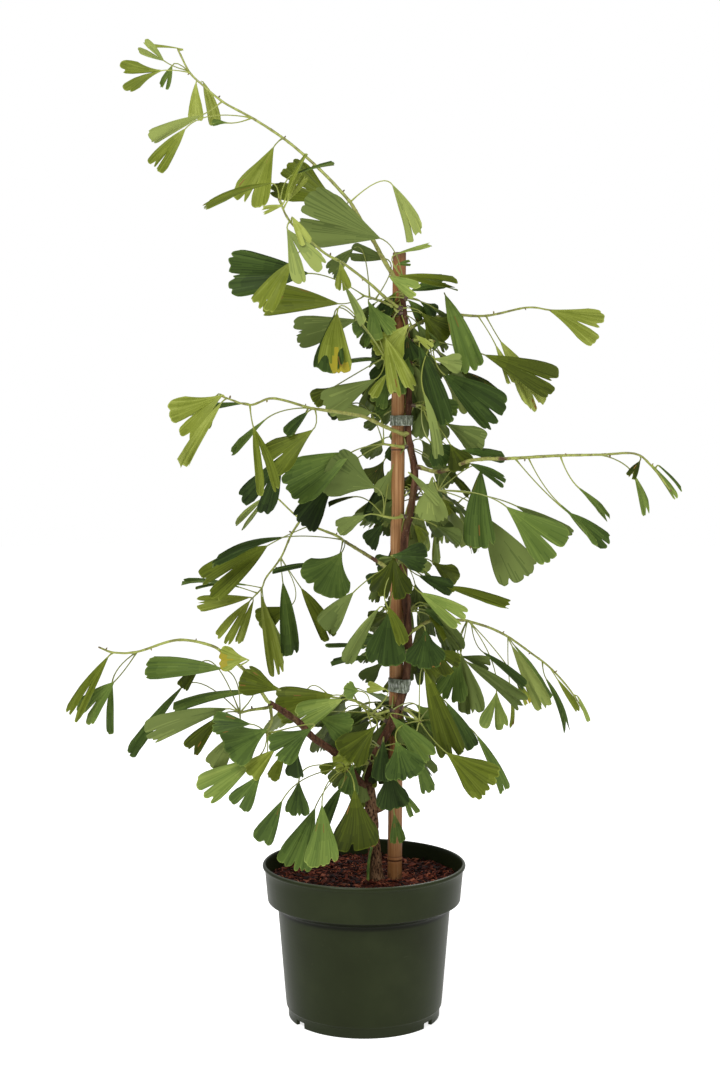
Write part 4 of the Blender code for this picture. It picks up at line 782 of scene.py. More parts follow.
# A blade, at u across (-1 to 1) and v out (0 to 1): distance out = length x v x the outline at u, which is a
# fan less its notch, lobes, cleft and teeth; angle = u x half the spread, narrower near the foot. It is
# folded along the middle, droops on an arc, and is pleated in waves that grow outwards.
def bladePart(leaf, draws):
    look = leafLook
    length, spread = leaf["length"], math.radians(leaf["spread"])
    columns = int(np.clip(length * max(spread, 0.12) / look["columnWidth"], *look["columns"])) // 2 * 2
    rows = look["rows"] if length > look["shortLength"] else look["shortRows"]
    edge = np.linspace(0, 1 - look["margin"] / length, rows)
    u, v = np.meshgrid(np.linspace(-1, 1, columns + 1), np.append(edge, 1.0))
    width = 0.035 + 0.15 * leaf["split"] ** 2
    notch = leaf["split"] * np.exp(-(np.abs(u) / width) ** 1.5)
    lobes = draws.uniform(*look["lobes"]) * (0.35 + 0.65 * min(1, spread))
    depth = draws.uniform(*look["lobeDepth"]) * (1.5 if leaf["split"] > 0.3 else 1)
    warp = u + 0.3 * bladeNoise(u, 0.5, 6, draws)
    deeper = 1 + 0.8 * bladeNoise(u, 0.5, 5, draws)
    phase = lobes * math.pi * (warp + 1) / 2 + draws.uniform(0, 3)
    scallop = depth * deeper * (1 - np.abs(np.sin(phase))) ** 2
    fine = look["teeth"] * bladeNoise(u, 0.5, max(6, columns // 2), draws)
    cleftAt = draws.uniform(-look["cleftPlace"], look["cleftPlace"])
    cleft = draws.uniform(0, look["cleftDepth"]) * np.exp(-(np.abs(u - cleftAt) / look["cleftWidth"]) ** 1.5)
    corner = 0.08 * u ** 4 + look["corner"] * np.abs(u) ** 9
    outline = 1 - corner - notch - (scallop + fine + cleft) * np.clip(v * 3 - 1, 0, 1)
    out = length * v * np.maximum(outline, 0.12)
    # a narrow blade is widest in its middle, a wide one at its margin
    belly = np.clip((62 - leaf["spread"]) / 60 + draws.uniform(-0.1, 0.3), 0, 1)
    angle = u * spread / 2 * (1 + (1.35 * belly - 0.4) * (1 - v))
    along, across = out * np.cos(angle), out * np.sin(angle) + u * 0.75 * (1 - v)
    bent, fold = math.radians(leaf["droop"]) / length, math.radians(leaf["fold"]) / 2
    soft = 0.05 * length
    rise = (np.sqrt(across ** 2 + soft ** 2) - soft) * math.sin(fold) - (1 - np.cos(along * bent)) / bent
    pleat = draws.uniform(*look["pleatHeight"]) * length * v ** 2.2
    rise += pleat * np.sin(draws.uniform(*look["pleats"]) * math.pi * u + draws.uniform(0, 6.3))
    rise += length * look["ripple"] * v ** 2 * bladeNoise(u, v * 2.5, 5, draws)
    rise += look["rib"] * (np.arange(columns + 1) % 2 - 0.5) * np.clip(v * 4, 0, 1)
    twist = math.radians(draws.uniform(-look["twist"], look["twist"])) * v
    cosine, sine = np.cos(twist), np.sin(twist)
    across = across * math.cos(fold)
    across, rise = across * cosine - rise * sine, across * sine + rise * cosine
    side = np.cross(leaf["upper"], leaf["axis"])
    middle = (leaf["base"] + (np.sin(along * bent) / bent)[..., None] * leaf["axis"]
              + across[..., None] * side + rise[..., None] * leaf["upper"])
    thick = look["thickness"] * (1 - v) + look["edgeThickness"] * v
    thick += look["footThickness"] * np.clip(1 - v * 6, 0, 1)
    half = leaf["upper"] * thick[..., None] / 2
    points = np.vstack([(middle + half).reshape(-1, 3), (middle - half).reshape(-1, 3)])
    quads = gridFaces(rows + 1, columns + 1, False)
    below = (rows + 1) * (columns + 1)
    index = np.arange(below).reshape(rows + 1, columns + 1)
    loop = np.concatenate([index[-1], index[-2::-1, -1], index[0, -2::-1], index[1:-1, 0]])
    after = np.roll(loop, -1)
    rim = np.stack([loop, loop + below, after + below, after], -1)
    return points, np.vstack([quads[:, ::-1], quads + below, rim]), leafKinds(leaf, u, v, draws, len(rim))


# The finish of each face: the leaf's own tone, paler at its foot, fading or deepening outwards, in streaks
# that follow the columns and in a few patches, with a paler margin; now and then a leaf is marked by rust.
def leafKinds(leaf, u, v, draws, rimCount):
    look = leafLook
    rows, columns = u.shape[0] - 1, u.shape[1] - 1
    base, under, _ = tintPlace[leaf["tint"]]
    u, v = (u[1:, 1:] + u[:-1, :-1]) / 2, (v[1:, 1:] + v[:-1, :-1]) / 2
    streak = np.repeat(draws.normal(0, 1, (1, columns)), rows, axis=0) * look["streaks"]
    patch = bladeNoise(u, v * 3, 6, draws) * look["patches"]
    fade = (v - 0.5) * draws.uniform(-look["fade"], look["fade"])
    upper = base + draws.normal(0, 0.9) + fade + streak + patch + 1.6 * np.clip(1 - v * 3, 0, 1)
    lower = under + draws.normal(0, 0.5) + fade * 0.7 + streak * 0.4 + patch * 0.4
    upper[-1] += np.where(draws.random(columns) < look["paleMargin"], 2.4, 0.8)
    upper = np.clip(np.round(upper), 0, upperCount - 1).astype(int)
    lower = upperCount + np.clip(np.round(lower), 0, underCount - 1).astype(int)
    rim = int(np.clip(round(base + 2.5), 0, upperCount - 1))
    yellow = upperCount + underCount
    rust, cool = yellow + 1, yellow + 2
    if draws.random() < coolChance[leaf["tint"]]:
        upper, rim = upper + cool, rim + cool
    if leaf["tint"] == "yellow":
        turned = v - 0.9 * np.abs(u) + 0.2 * latticeNoise((u + 1) / 2.02, v * 3, 5, 9) > 0.5
        upper, lower, rim = np.where(turned, yellow, upper), np.where(turned, yellow, lower), yellow
    elif draws.random() < look["rustChance"]:
        upper = np.where(bladeNoise(u, v * 9, 14, draws) > 0.86, rust, upper)
    return np.concatenate([upper.ravel(), lower.ravel(), np.full(rimCount, rim)])


# A leaf stalk: an arc from the stem to the blade's foot, swollen where it starts, running a little into the
# blade.
def stalkPart(leaf, draws):
    start, base = leaf["node"], leaf["base"]
    length = np.linalg.norm(base - start)
    bend = base - leaf["axis"] * length * 0.4
    steps = int(np.clip(length / 5, 3, 11))
    t = np.linspace(0, 1, steps + 1)[:, None]
    route = (1 - t) ** 2 * start + 2 * t * (1 - t) * bend + t ** 2 * base
    route = np.vstack([route, base + leaf["axis"] * 2.5])
    radii = 0.62 + 0.55 * np.exp(-t[:, 0] * length / 3.5) + 0.16 * t[:, 0] ** 4
    rings = ringPoints(route, np.append(radii, 0.3), 6)
    kind = round(tintPlace[leaf["tint"]][2] + draws.normal(0, 0.7))
    return closedTube(rings, int(np.clip(kind, 0, stalkCount - 1)))


# The leaves of the front view, from their rows.
def namedLeaves(plan, stem, first, rng):
    for at, reach, heading, near, length, spread, face, split, tint in plan["leaves"]:
        axis, upper = leafAxes(heading, near, face)
        node = stem.at(at + first)
        yield dict(node=node, base=node + reach, axis=axis, upper=upper, length=length, spread=spread,
                   split=split, tint=tint, fold=rng.uniform(*leafLook["fold"]),
                   droop=rng.uniform(*leafLook["droop"]))


# A leaf from its node, the reach of its stalk, its axis and where its upper side looks.
def hungLeaf(node, reach, axis, outward, **rest):
    axis = unit(axis)
    upper = unit(outward - axis * axis.dot(outward))
    return dict(node=node, base=node + reach, axis=axis, upper=upper, **rest)


# Small leaves in the spurs near the trunk, on short stalks beside and behind each stem.
def spurLeaves(stem, seed):
    plan, draws = spurPlan, np.random.default_rng(seed + 7)
    for i in range(plan["count"]):
        turn = i * goldenAngle + draws.uniform(-0.5, 0.5)
        out = np.array([math.cos(turn), draws.uniform(-0.1, 0.9), 0.6 * math.sin(turn) - 0.2])
        axis = out - (0, 0, draws.uniform(0.2, 1.2))
        outward = np.array([0.4 * out[0], draws.choice([-1.0, 0.6]), 0.5])
        yield hungLeaf(stem.at(draws.uniform(1, 2)), out * draws.uniform(*plan["stalk"]), axis, outward,
                       length=draws.uniform(*plan["length"]), spread=draws.uniform(*plan["spread"]),
                       split=plan["split"] * draws.random(), tint=("deep", "mid")[i % 2],
                       fold=draws.uniform(*plan["fold"]), droop=draws.uniform(*plan["droop"]))


# Leaves that go round a far stem by the golden angle, hang a little and differ in size.
def ruledLeaves(plan, stem, first, rng):
    f = farLeaf
    for i in range(plan["count"]):
        node = stem.at(first + 0.2 + (len(plan["route"]) - 0.2) * i / (plan["count"] - 1))
        turn = i * goldenAngle + rng.uniform(-0.3, 0.3)
        out = np.array([math.cos(turn), 0.35 + rng.uniform(-0.2, 0.2), 0.6 * math.sin(turn)])
        axis = out - (0, 0, math.tan(math.radians(f["hang"])) * rng.uniform(0.5, 1))
        yield hungLeaf(node, out * f["stalk"] * rng.uniform(0.6, 1.1), axis, np.array([out[0], out[1], 0.6]),
                       length=rng.uniform(*f["length"]), spread=rng.uniform(*f["spread"]),
                       split=f["split"] * rng.random(), tint=rng.choice(("deep", "mid", "mid", "fresh")),
                       fold=rng.uniform(*f["fold"]), droop=rng.uniform(*f["droop"]))


# Young shoots, ringed spurs and buds, in mm.
shootLook = dict(sides=12, nodeEvery=24, nodeSwell=0.22, budEvery=46, spurRing=1.3, spurSwell=0.35)
shootKinds = dict(stalk=0, shoot=stalkCount, spur=stalkCount + 3, bud=stalkCount + 6)


def makeShootFinishes():
    finishes = finishRamp("leaf_stalk", stalkStops, stalkCount, 0.45)
    finishes += finishRamp("young_shoot", [(112, 112, 50), (134, 140, 62), (150, 158, 74)], 3, 0.5)
    finishes += finishRamp("spur", [(52, 38, 32), (78, 60, 50), (104, 86, 70)], 3, 0.8)
    finishes += finishRamp("bud", [(98, 84, 44), (136, 122, 66)], 2, 0.6)
    return finishes


# A mass's stem: ringed and dark like a spur near the trunk, smooth and green with low nodes farther out.
def stemPart(limb, onTrunk, seed):
    look = shootLook
    ringed = onTrunk * np.clip(1.4 - limb.run / 9, 0, 1)
    swell = look["nodeSwell"] * np.exp(-(((limb.run % look["nodeEvery"]) - 8) / 1.6) ** 2) * (1 - ringed)
    rings = look["spurSwell"] * np.abs(np.sin(limb.run / look["spurRing"] * math.pi / 2)) * ringed
    radii = limb.radii * (1 + 0.36 * ringed) + swell + rings
    around, along = skinGrid(look["sides"], limb.run / 4)
    relief = 0.12 * latticeNoise(around, along, 5, seed)
    draws = np.random.default_rng(seed)
    steps = (len(limb.run) - 1, look["sides"])
    green = np.clip(np.round(1.1 + latticeNoise(around, along, 4, seed + 1)[1:] * 1.2), 0, 2).astype(int)
    dark = draws.integers(0, 3, steps)
    kinds = np.where(ringed[1:, None] > 0.35, shootKinds["spur"] + dark, shootKinds["shoot"] + green)
    return closedTube(ringPoints(limb.route, radii, look["sides"], relief), kinds)


# A bud: an egg of scales on a short turned outline, at a place and direction.
def budPart(place, direction, size, seed):
    along = np.linspace(0, 1, 7)
    route = place + np.outer(along * size * 1.9, direction)
    radii = size * 0.55 * np.sqrt(np.clip(np.sin(math.pi * (0.12 + 0.85 * along)), 0.02, 1))
    return closedTube(ringPoints(route, radii, 8), shootKinds["bud"] + seed % 2)


# Short side buds up a long stem, turn about, where a spur would open next year.
def sideBuds(limb, seed):
    buds = []
    draws = np.random.default_rng(seed)
    for i, run in enumerate(np.arange(18, limb.run[-1] - 6, shootLook["budEvery"])):
        k = int(np.searchsorted(limb.run, run))
        out = np.cross(limb.tangents[k], (0, 1 if i % 2 else -1, 0.2)) + draws.normal(0, 0.3, 3)
        out = unit(out - limb.tangents[k] * out.dot(limb.tangents[k]) * 0.7)
        buds.append(budPart(limb.route[k] + out * limb.radii[k] * 0.6, out, draws.uniform(1.1, 1.8), i))
    return buds


# One mass: its stem with buds, its twigs, and a blade and a stalk for each leaf. Returns the count of leaves.
def makeMass(name, plan, limbs, leafFinishes, shootFinishes):
    rng = random.Random(plan.get("seed", name))
    seed = sum(map(ord, name))
    parent, height = plan["on"]
    start = limbs[parent].leave(height, plan["route"][0], plan["radii"][0])
    stem = Limb(start + plan["route"], evenTaper(plan["radii"]))
    leaves = list((ruledLeaves if "count" in plan else namedLeaves)(plan, stem, 2, rng))
    wood = [stemPart(stem, parent == "trunk", seed)] + sideBuds(stem, seed)
    wood.append(budPart(stem.route[-1] - stem.tangents[-1] * 0.6, stem.tangents[-1], 1.7, seed))
    for twig in plan.get("twigs", ()):
        side = Limb([stem.at(twig["leavesAt"] + 2)] + twig["route"],
                    evenTaper((plan["radii"][0] * 0.8, plan["radii"][1])))
        wood += [stemPart(side, False, seed + 5)] + sideBuds(side, seed + 5)
        leaves += namedLeaves(twig, side, 0, rng)
    if parent == "trunk":
        leaves += spurLeaves(stem, seed)
    blades = []
    for i, leaf in enumerate(leaves):
        draws = np.random.default_rng(seed * 100 + i)
        blades.append(bladePart(leaf, draws))
        wood.append(stalkPart(leaf, draws))
    makePiece(name + "_blades", blades, leafFinishes, [name])
    makePiece(name + "_stalks", wood, shootFinishes, [name])
    return len(leaves)


# Trunk and boughs: relief in mm, and sRGB tones.
barkLook = dict(
    sides=56, spacing=1.6,
    corkTop=262, corkFade=26,  # the corky foot ends here, mm above the floor
    fissures=0.75, fissureCells=15, fissureLength=9.0,
    ribs=0.28,
    knots=((176, 0.5), (214, 0.7), (262, 1.6), (322, 0.9), (358, 0.6), (404, 0.9), (452, 1.1), (495, 1.3),
           (517, 0.7), (541, 1.2), (573, 1.2), (594, 1.3), (617, 1.2), (660, 1.1), (704, 1.0), (727, 0.9),
           (752, 0.8)),  # height and swelling, mm
)
corkTones = dict(ridge=(142, 112, 84), mid=(100, 71, 48), crack=(40, 24, 15))
barkTones = dict(light=(112, 82, 60), mid=(78, 51, 35), dark=(44, 26, 17), green=(86, 80, 42),
                 mark=(158, 138, 122))
boughTones = dict(light=(158, 162, 86), mid=(138, 140, 72), dark=(112, 104, 58), mark=(170, 160, 120))
suckerTones = dict(light=(132, 150, 70), mid=(98, 126, 52), dark=(70, 92, 38))


# Bark: corky below, with dark cracks where one long noise is low and pale plates, shaded by another, where it
# is high; red brown above, with long streaks, small pale marks and a little green.
def makeBark():
    bark = Recipe("trunk_bark", tone(*barkTones["mid"]), 0.78, Specular_IOR_Level=0.1)
    low = 1 - bark.above(bark.height(), barkLook["corkTop"] - barkLook["corkFade"], barkLook["corkTop"])
    plate = bark.step(bark.noise(640, (1, 1, 0.36), 3, 0.6, 0.5), 0.38, 0.54)
    shade = bark.noise(330, (1, 1, 0.35), 5)
    shade = bark.ramp(shade, [(0.35, corkTones["mid"]), (0.65, corkTones["ridge"])])
    cork = bark.mix(plate, corkTones["crack"], shade)
    streaks = bark.noise(240, (1, 1, 0.16), 5, 0.6, 0.4)
    smooth = bark.ramp(streaks, [(0.30, barkTones["dark"]), (0.52, barkTones["mid"]),
                                 (0.72, barkTones["light"])])
    marks = bark.step(bark.noise(620, (1, 1, 1.6), 2), 0.66, 0.74)
    smooth = bark.mix(marks * 0.55, smooth, barkTones["mark"])
    algae = bark.step(bark.noise(34, (1, 1, 0.6), 3), 0.55, 0.72)
    smooth = bark.mix(algae * 0.45, smooth, barkTones["green"])
    bark.feed("Base Color", bark.mix(low, smooth, cork))
    bark.feed("Roughness", 0.62 + low * 0.24 + streaks * 0.1)
    bark.bump(low * plate * 0.8 + streaks * 0.35 + bark.noise(1500, (1, 1, 0.5)) * 0.15, 0.5, 0.0008)
    return bark.material


# Young wood: olive in fine streaks, brown where a broad noise is high, with scattered pale marks.
def makeBoughBark(name, brown):
    bark = Recipe(name, tone(*boughTones["mid"]), 0.55, Specular_IOR_Level=0.3)
    streaks = bark.noise(300, (1, 1, 1), 4, 0.6)
    green = bark.ramp(streaks, [(0.3, boughTones["dark"]), (0.5, boughTones["mid"]),
                                (0.72, boughTones["light"])])
    patches = bark.step(bark.noise(60, (1, 1, 1), 3), 0.62 - brown, 0.8 - brown)
    colour = bark.mix(patches, green, barkTones["mid"])
    marks = bark.step(bark.noise(900, (1, 1, 1), 2), 0.64, 0.72)
    bark.feed("Base Color", bark.mix(marks * 0.5, colour, boughTones["mark"]))
    bark.bump(streaks + marks * 0.5, 0.35, 0.0005)
    return bark.material


# Relief of the trunk: deep fissures at the corky foot, long low ribs above, a swelling at each knot.
def trunkRelief(limb):
    look = barkLook
    around, run = skinGrid(look["sides"], limb.run)
    z = limb.route[:, 2][:, None]
    low = np.clip((look["corkTop"] - z) / look["corkFade"], 0, 1)
    shift = around + 0.03 * latticeNoise(around, run / 11, 6, 41)
    cracks = np.abs(latticeNoise(shift, run / look["fissureLength"], look["fissureCells"], 42))
    fine = np.abs(latticeNoise(shift, run / 4.5, 26, 43))
    cork = look["fissures"] * (np.clip(cracks * 3, 0, 1) - 0.6) + 0.3 * (np.clip(fine * 3, 0, 1) - 0.5)
    ribs = look["ribs"] * (latticeNoise(shift, run / 34, 8, 44) + 0.6 * latticeNoise(shift, run / 9, 16, 45))
    knots = sum(size * np.exp(-((z - at) / 5.0) ** 2) * (0.55 + 0.45 * np.sin(around * 2 * math.pi + at))
                for at, size in look["knots"])
    return low * cork + (1 - low) * ribs + knots * (1 - 0.6 * low)


# The points of a stem that stands in the soil, started below the surface.
def rooted(route):
    return [(*route[0][:2], soil["top"] - trunkPlan["intoSoil"])] + route[1:]


# The trunk, and the cut stub at its fork with a shaken end.
def makeTrunk(bark):
    limb = Limb(rooted(trunkPlan["route"]), trunkTaper, barkLook["spacing"])
    trunk = closedTube(ringPoints(limb.route, limb.radii, barkLook["sides"], trunkRelief(limb), level=True))
    stub = Limb([stubPlan["foot"], stubPlan["tip"], stubPlan["end"]],
                lambda route, along: np.interp(along, (0, 0.5, 0.9, 1), stubPlan["radii"]), 0.8)
    sides = 40
    around, run = skinGrid(sides, stub.run)
    relief = 0.5 * latticeNoise(around, run / 4, 9, 51) * np.clip(4 - run[::-1] / 2, 0, 1)
    knob = closedTube(ringPoints(stub.route, stub.radii, sides, relief))
    makePiece("trunk_wood", [trunk, knob], [bark], ["trunk"], sharp=70)
    return limb


# Each bough swells into a collar at the trunk and is ringed by low nodes.
def makeBoughs(trunk, bark, brownBark, greenBark):
    limbs, sides = dict(trunk=trunk), 24
    for number, (name, plan) in enumerate(boughs.items()):
        start = trunk.leave(plan["on"], plan["route"][0], plan["radii"][0])
        limb = limbs[name] = Limb(start + plan["route"], evenTaper(plan["radii"]), 1.5)
        around, run = skinGrid(sides, limb.run)
        collar = 1.3 * plan["radii"][0] / 2 * np.exp(-limb.run / 3.5)
        rings = 0.3 * np.exp(-(((limb.run % 19) - 9) / 1.4) ** 2)
        relief = 0.22 * latticeNoise(around, run / 7, 7, 60 + number)
        relief += 0.12 * latticeNoise(around, run / 2.5, 12, 70)
        body = closedTube(ringPoints(limb.route, limb.radii + collar + rings, sides, relief))
        finish = bark if plan["radii"][0] > 4 else brownBark if "mid" in name else greenBark
        makePiece(name + "_wood", [body], [finish], [name], sharp=70)
    return limbs


# The sucker: a thin green stem beside the trunk, with low bumps and a few spent buds.
def makeSucker():
    green = Recipe("sucker_green", tone(96, 122, 52), 0.5)
    streaks = green.noise(420, (1, 1, 0.25), 3)
    stops = [(0.3, suckerTones["dark"]), (0.55, suckerTones["mid"]), (0.75, suckerTones["light"])]
    green.feed("Base Color", green.ramp(streaks, stops))
    green.bump(streaks, 0.3, 0.0004)
    limb, sides = Limb(rooted(suckerPlan["route"]), evenTaper(suckerPlan["radii"]), 1.2), 16
    around, run = skinGrid(sides, limb.run)
    relief = 0.22 * np.abs(latticeNoise(around, run / 2.2, 6, 81))
    relief += 0.35 * np.exp(-(((run % 9) - 4) / 0.9) ** 2)
    stem = closedTube(ringPoints(limb.route, limb.radii * 0.95, sides, relief, level=True))
    makePiece("sucker_stem", [stem], [green.material], ["sucker"], sharp=70)


# The cane's relief and bore in mm, and where its marks lie.
caneLook = dict(sides=48, ridge=0.45, groove=0.35, wall=2.0, bore=9.0, uneven=0.012)
caneMarks = dict(
    groove=((-2.4, -1.4), (-0.6, 0.2)), ridge=((2.2, 2.8), (3.2, 3.8)),  # mm from a node
    halo=((-12, 0), (1, 7)),
    darkFoot=(160, 320), mould=(146, 172), weathered=(806, 819.5),  # mm above the floor
)


def caneAxis(z):
    along = (z - soil["top"]) / (cane["top"] - soil["top"])
    return np.outer(1 - along, cane["foot"]) + np.outer(along, cane["head"])


# Cane: brown tan with fine long fibres, redder patches and flecks, darker low down, a dark line and a warm
# halo at each node, mould near the soil and a grey weathered top. Every mask is a step of height or noise.
def makeCaneFinish():
    look = caneMarks
    skin = Recipe("cane_skin", tone(166, 116, 62), 0.42, Specular_IOR_Level=0.2)
    height = skin.height()
    fibres = skin.noise(900, (1, 1, 0.012), 4, 0.6)
    patches = skin.noise(30, (1, 1, 0.25), 3, 0.6)
    colour = skin.ramp(fibres, [(0.30, (112, 76, 44)), (0.5, (150, 108, 68)), (0.72, (184, 146, 104))])
    colour = skin.mix(skin.step(patches, 0.44, 0.66) * 0.6, colour, (138, 86, 46))
    colour = skin.mix((1 - skin.above(height, *look["darkFoot"])) * 0.5, colour, (132, 84, 40))
    flecks = skin.step(skin.noise(420, (1, 1, 0.12), 2), 0.66, 0.75)
    colour = skin.mix(flecks * 0.5, colour, (112, 72, 44))
    for node in cane["nodes"]:
        groove, ridge, halo = (skin.band(height, *((node + low, node + high) for low, high in look[mark]))
                               for mark in ("groove", "ridge", "halo"))
        colour = skin.mix(halo * 0.35, colour, (140, 88, 52))
        colour = skin.mix((groove + ridge * 0.6) * 0.85, colour, (62, 38, 26))
    low = 1 - skin.above(height, *look["mould"])
    mould = skin.step(skin.noise(150, (1, 1, 0.7), 4, 0.65) + low * 0.22, 0.60, 0.72)
    colour = skin.mix(mould * low * 0.8, colour, (66, 44, 30))
    colour = skin.mix(skin.above(height, *look["weathered"]) * 0.75, colour, (84, 62, 44))
    skin.feed("Base Color", colour)
    skin.feed("Roughness", 0.36 + fibres * 0.2 + low * mould * 0.3)
    skin.bump(fibres * 0.6 + mould * low * 0.6, 0.25, 0.0004)
    return skin.material


# The cane's outline goes up the outside, over the cut top and down a short bore; each node is a ridge over a
# groove.
def makeCane():
    look = caneLook
    top, foot = cane["top"], soil["top"] - trunkPlan["intoSoil"]
    nodes = np.array(cane["nodes"])[:, None]
    nearNodes = (n + np.linspace(-5, 5, 21) for n in cane["nodes"])
    z = np.unique(np.concatenate([np.arange(foot, top, 8.0), *nearNodes, [top - 0.6, top]]))
    radii = cane["radii"][0] + (cane["radii"][1] - cane["radii"][0]) * (z - foot) / (top - foot)
    radii = radii + look["ridge"] * np.exp(-((z - nodes) / 1.5) ** 2).sum(axis=0)
    radii -= look["groove"] * np.exp(-((z - nodes + 2.2) / 0.8) ** 2).sum(axis=0)
    radii[-1] -= 0.4
    inside = radii[-1] - look["wall"]
    z = np.concatenate([z, [top - 0.2, top - 1.5, top - look["bore"], top - look["bore"] - 1]])
    radii = np.concatenate([radii, [inside + 0.3, inside, inside - 0.2, inside * 0.4]])
    around = circle(look["sides"])
    out = np.stack([np.cos(around), np.sin(around)], -1)
    uneven = 1 + look["uneven"] * np.sin(around * 2 + 0.6)
    rings = np.empty((len(z), look["sides"], 3))
    rings[..., :2] = caneAxis(z)[:, None] + out * (radii[:, None] * uneven)[..., None]
    rings[..., 2] = z[:, None]
    makePiece("cane_skin", [closedTube(rings)], [makeCaneFinish()], ["cane"], sharp=40)


# Tie film: pale grey green, with bright and dark creases that run up it.
def makeTieFinish():
    film = Recipe("tie_film", tone(110, 116, 96), 0.28, Coat_Weight=0.3, Coat_Roughness=0.2)
    creases = film.noise(520, (1, 1, 0.18), 4, 0.6, 0.5)
    stops = [(0.34, (52, 56, 42)), (0.5, (96, 104, 84)), (0.68, (188, 194, 180))]
    film.feed("Base Color", film.ramp(creases, stops))
    film.feed("Roughness", 0.2 + creases * 0.3)
    film.bump(creases, 0.6, 0.0006)
    return film.material


tieLook = dict(
    columns=120, rows=15, offCane=0.1, offTrunk=0.9,
    thickness=0.75, secondTurn=0.35, creases=((0.30, 34, 0.5), (0.16, 60, 1.0)),  # height, cells around, rows
    rowLength=2.4, curl=0.5, curlReach=0.4,
)


# A tie: the line pulled tight round cane and trunk at each height, as a thin closed band of two turns whose
# edges curl and crease a little.
def makeTie(name, heights, trunk, film):
    look, (low, high) = tieLook, heights
    count, rows = look["columns"], look["rows"]
    angles = circle(count)
    out = np.stack([np.cos(angles), np.sin(angles)], -1)
    z = np.linspace(low, high, rows)
    levels = []
    for level in z:
        place, _, radius = trunk.beside(level)
        rounds = ((caneAxis(np.array([level]))[0], cane["radii"][0] + look["offCane"]),
                  (place[:2], radius + look["offTrunk"]))
        reach = [centre @ out.T + size for centre, size in rounds]
        skins = [centre + out * size for centre, size in rounds]
        levels.append(np.where((reach[0] > reach[1])[:, None], *skins))
    inner = np.array(levels)
    around, along = skinGrid(count, (z - low) / look["rowLength"])
    crease = sum(size * latticeNoise(around, along * pace, cells, 90 + number)
                 for number, (size, cells, pace) in enumerate(look["creases"]))
    turn = look["secondTurn"] * (np.sin((z - low) / (high - low) * math.pi * 4) > 0)[:, None]
    thick = (look["thickness"] + turn + crease)[..., None]
    edge = look["curl"] * latticeNoise(around[:1], along[:1] * 0, 12, 92)
    lift = z[:, None] + np.linspace(-1, 1, rows)[:, None] * look["curlReach"] * edge
    rings = np.vstack([np.dstack([inner + out * thick, lift]), np.dstack([inner, lift])[::-1]])
    closing = gridFaces(2, count, True)
    closing = np.where(closing < count, closing + (2 * rows - 1) * count, closing - count)
    faces = np.vstack([gridFaces(2 * rows, count, True), closing])
    makePiece(name + "_film", [(rings.reshape(-1, 3), faces, 0)], [film], [name])


# Pot, its drain slots and its fill, in mm and degrees.
pot = dict(height=167, rim=110, bandTop=107.5, bandFoot=104.5, bandHeight=39.5, bodyTop=93.4, bodyFoot=84.4,
           foot=82, footHeight=11.5, wall=1.7, pad=55)
slots = dict(width=15, height=6, angles=(-124, -90, -56, 56, 90, 124, 180))
potMarks = dict(shadeUnderBand=((115, 119), (126, 128)), bead=(164.8, 166.2), dusty=(6, 20))  # mm above the floor
soilLook = dict(
    seed=7, chips=1500, fibres=900, chipsWithin=101, fibresWithin=99, edge=101,
    chipLength=(1.6, 5.5), chipWidth=(0.8, 2.4), chipThickness=(0.3, 0.9), chipShare=(0.36, 0.34, 0.2, 0.1),
    fibreLength=(6, 19), fibreBend=3.4, fibreThickness=(0.16, 0.36), fibreShare=(0.45, 0.35, 0.2),
    ringFrom=104.1, roughAbove=147,
)
chipTones = ((28, 10, 7), (60, 24, 16), (96, 43, 28), (134, 72, 48))
coirTones = ((88, 36, 24), (140, 70, 46), (186, 116, 84))


# Moulded plastic: dark green, a little uneven, with dust where a fine noise is high, a few scuffs and faint
# turning lines; a nearly black painted shadow under the band, and a painted highlight, a paler colour, on the
# bead of the rim, which is also glossier.
def makePotFinish():
    skin = Recipe("pot_plastic", tone(32, 38, 17), 0.42, Specular_IOR_Level=0.08, Coat_Roughness=0.25)
    height = skin.height()
    cloud = skin.noise(14, (1, 1, 1), 3)
    colour = skin.ramp(cloud, [(0.3, (33, 38, 18)), (0.55, (37, 43, 22)), (0.75, (43, 49, 27))])
    dust = skin.step(skin.noise(300, (1, 1, 0.6), 5, 0.7), 0.60, 0.78)
    colour = skin.mix(dust * 0.18, colour, (78, 78, 56))
    scuffs = skin.step(skin.noise(90, (1, 1, 4), 4, 0.7, 1.5), 0.70, 0.74)
    colour = skin.mix(scuffs * 0.3, colour, (92, 92, 74))
    # painted shadow: the colour turns nearly black under the overhang of the band, where shade falls
    colour = skin.mix(skin.band(height, *potMarks["shadeUnderBand"]) * 0.85, colour, (12, 14, 6))
    # painted highlight: the bead's colour is mixed paler; the coat on the bead is real gloss from the shader
    bead = skin.above(height, *potMarks["bead"])
    colour = skin.mix(bead * 0.5, colour, (84, 90, 70))
    skin.feed("Coat Weight", bead * 0.5)
    low = 1 - skin.above(height + skin.noise(60) * 0.01, *potMarks["dusty"])
    skin.feed("Base Color", skin.mix(low * 0.3, colour, (40, 46, 34)))
    skin.feed("Roughness", 0.34 + cloud * 0.12 + dust * 0.15 + scuffs * 0.2)
    lines = skin.add("ShaderNodeTexWave", dict(wave_type="BANDS", bands_direction="Z"),
                     dict(Vector=skin.place(), Scale=60.0, Distortion=0.4))
    skin.bump(lines * 0.25 + skin.noise(700, detail=2) * 0.2 + scuffs * 0.3, 0.12, 0.0004)
    return skin.material


